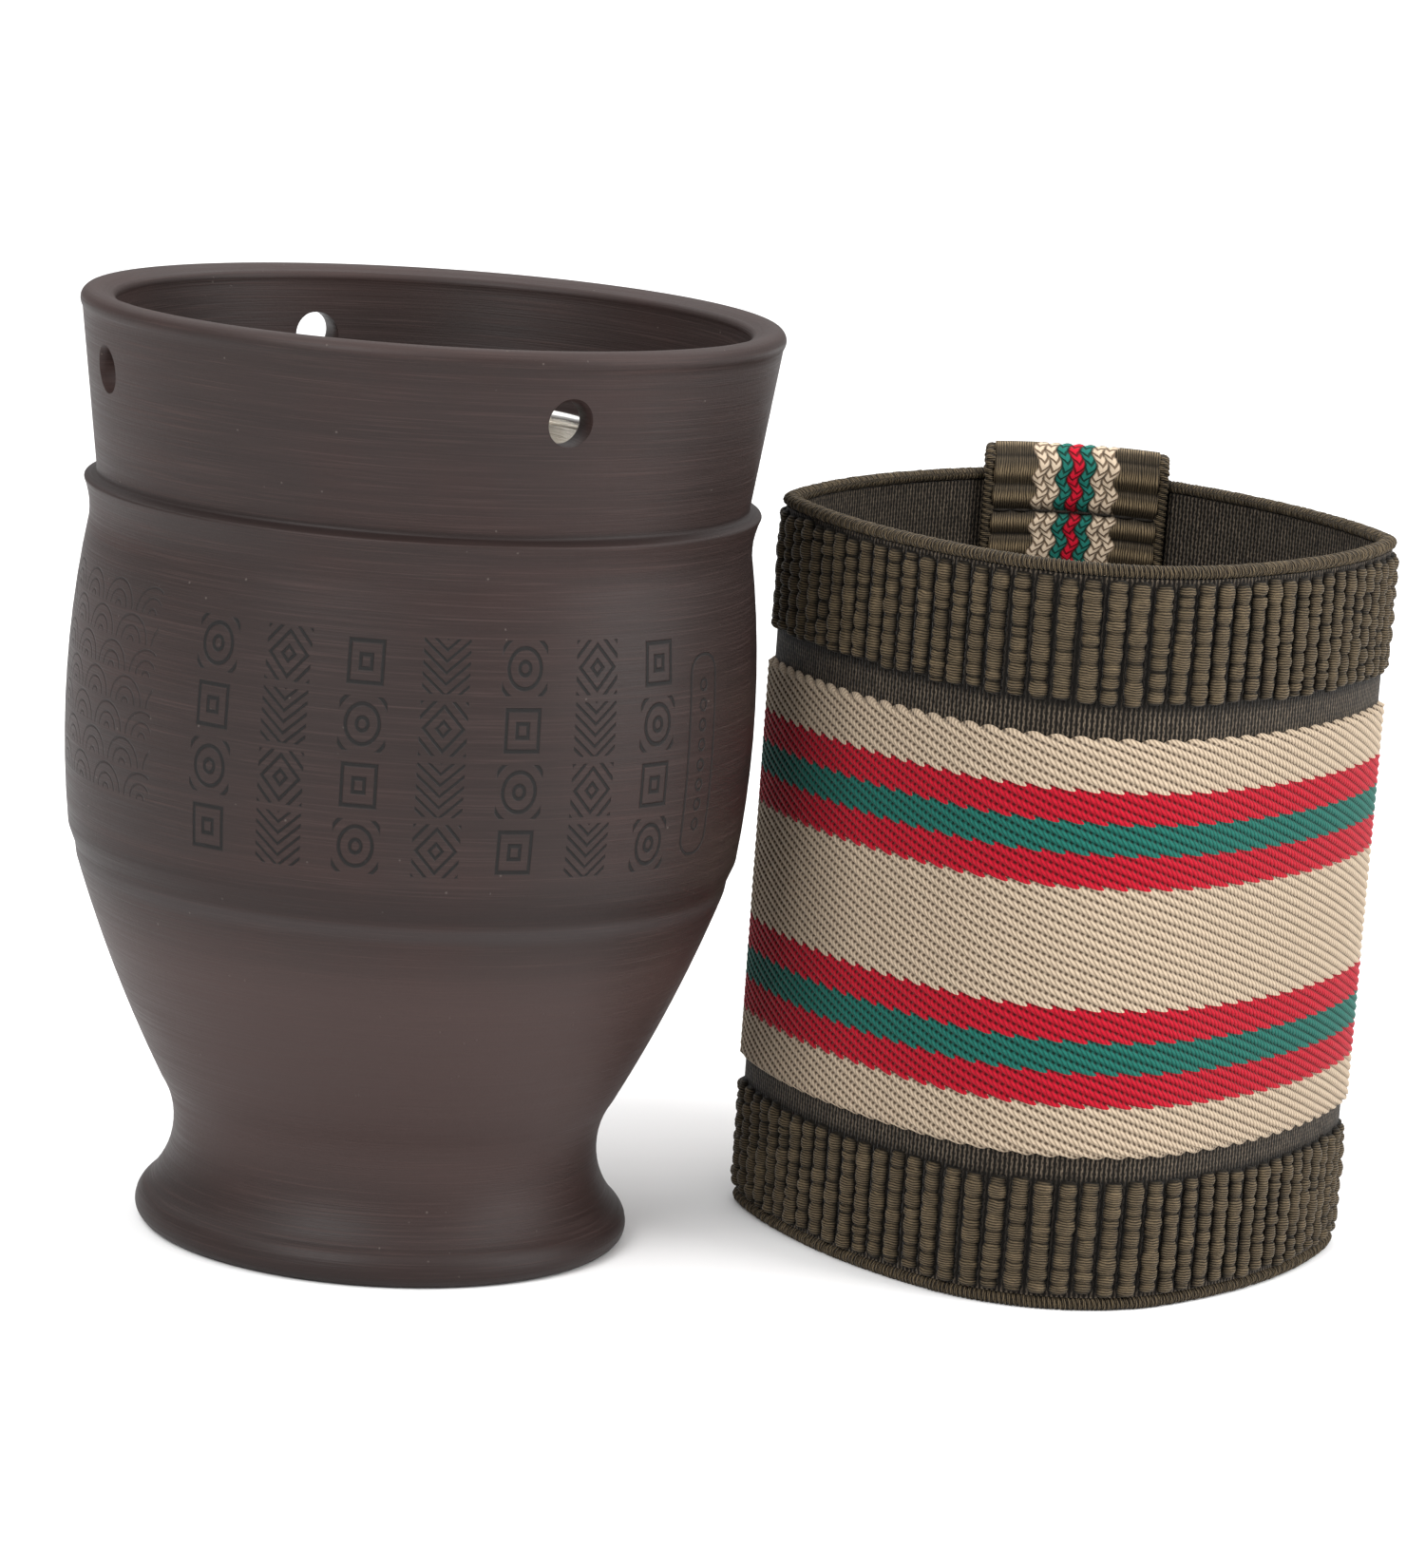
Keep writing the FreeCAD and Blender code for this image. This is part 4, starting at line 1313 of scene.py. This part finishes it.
class WARMCUP_OT_seam_tab(bpy.types.Operator):
    """Fold the woven tab over the sleeve's seam and stitch it down"""
    bl_idname = "warmcup.seam_tab"
    bl_label = "Seam tab"

    def execute(self, context):
        sleeve = context.scene.warmcup_sleeve
        path = TabPath(sleeve, Outline(sleeve))
        cloth = tab_cloth(sleeve, path)
        finish_piece(cloth, "seam_tab", tab_paint(sleeve))
        edge_paint = yarn_paint("tab_edge_yarn", sleeve.olive, EDGE_THREAD, "across")
        for side, node in ((-1, "left_tab_overlock"), (1, "right_tab_overlock")):
            piece = tab_overlock(sleeve, path, node, side, 30 + side)
            finish_piece(piece, node, edge_paint)
        thread_paint = yarn_paint("sewing_thread", sleeve.thread, SEWING_THREAD, "across")
        thread = tab_thread(sleeve, path)
        finish_piece(thread, "tab_stitching", thread_paint)
        return {"FINISHED"}


# Floor, light and camera

FLOOR_SIZE = 40.0
ROOM_LIGHT = 0.42
SENSOR_WIDTH = 36  # millimetres
OBJECT_MIDDLE = (35 * MM, 0, 50 * MM)
LIGHTS = (  # name, place, target, size, watts
    ("left_softbox", (-0.45, -0.85, 0.75), OBJECT_MIDDLE, (0.5, 0.5), 11),
    ("right_softbox", (0.95, -0.25, 0.45), OBJECT_MIDDLE, (0.6, 0.9), 10),
    ("overhead_softbox", (0, 1.2, 3), (0, 1.2, 0), (7, 7), 260),
)


class WARMCUP_OT_stage(bpy.types.Operator):
    """Set the pale floor, the soft studio light and the camera"""
    bl_idname = "warmcup.stage"
    bl_label = "Stage"

    def execute(self, context):
        stage = context.scene.warmcup_stage
        self.set_camera(context.scene, stage)
        deselect()
        bpy.ops.mesh.primitive_plane_add(size=FLOOR_SIZE, location=(0, 0, 0))
        floor = context.object
        floor.name = "studio_floor"
        paint = Paint("studio_floor")
        paint.set(base_color=stage.floor, roughness=0.9)
        paint.shine(0.1)
        floor.data.materials.append(paint.material)
        world = bpy.data.worlds.new("studio")
        world.use_nodes = True
        background = world.node_tree.nodes["Background"]
        background.inputs["Color"].default_value = (1, 1, 1, 1)
        background.inputs["Strength"].default_value = ROOM_LIGHT
        context.scene.world = world
        context.scene.view_settings.view_transform = "Standard"
        for light in LIGHTS:
            self.add_light(*light)
        return {"FINISHED"}

    def add_light(self, name, place, target, size, power):
        lamp = bpy.data.lights.new(name, "AREA")
        lamp.shape = "RECTANGLE"
        lamp.size, lamp.size_y = size
        lamp.energy = power
        item = bpy.data.objects.new(name, lamp)
        item.location = place
        way = Vector(target) - Vector(place)
        item.rotation_euler = way.to_track_quat("-Z", "Y").to_euler()
        bpy.context.collection.objects.link(item)

    def set_camera(self, scene, stage):
        lens = bpy.data.cameras.new("studio_camera")
        lens.lens = stage.lens
        lens.sensor_width = SENSOR_WIDTH
        lens.clip_start = 10 * MM
        item = bpy.data.objects.new("studio_camera", lens)
        level = Matrix.Rotation(math.pi / 2 - stage.pitch, 4, "X")
        lean = Matrix.Rotation(stage.roll, 4, "Z")
        item.matrix_world = Matrix.Translation(stage.eye) @ level @ lean
        bpy.context.collection.objects.link(item)
        scene.camera = item


# Add-on

OPERATORS = (
    WARMCUP_OT_stage,
    WARMCUP_OT_clay_cup,
    WARMCUP_OT_burner_stand,
    WARMCUP_OT_elastic_ground,
    WARMCUP_OT_rib_bands,
    WARMCUP_OT_striped_webbing,
    WARMCUP_OT_edge_overlocks,
    WARMCUP_OT_seam_tab,
)


class WARMCUP_PT_sidebar(bpy.types.Panel):
    """Lists the operators that make the warming cup"""
    bl_label = "Warming cup"
    bl_idname = "WARMCUP_PT_sidebar"
    bl_space_type = "VIEW_3D"
    bl_region_type = "UI"
    bl_category = "Warming cup"

    def draw(self, context):
        for operator in OPERATORS:
            self.layout.operator(operator.bl_idname)


SETTINGS = {
    "warmcup_cup": CupSettings,
    "warmcup_steel": SteelSettings,
    "warmcup_sleeve": SleeveSettings,
    "warmcup_stage": StageSettings,
}


def register():
    for name, group in SETTINGS.items():
        bpy.utils.register_class(group)
        setattr(bpy.types.Scene, name, bpy.props.PointerProperty(type=group))
    for item in (*OPERATORS, WARMCUP_PT_sidebar):
        bpy.utils.register_class(item)


def unregister():
    for item in reversed((*OPERATORS, WARMCUP_PT_sidebar)):
        bpy.utils.unregister_class(item)
    for name, group in SETTINGS.items():
        delattr(bpy.types.Scene, name)
        bpy.utils.unregister_class(group)


def main():
    register()
    for operator in OPERATORS:
        group, name = operator.bl_idname.split(".")
        getattr(getattr(bpy.ops, group), name)()


if __name__ == "__main__":
    main()
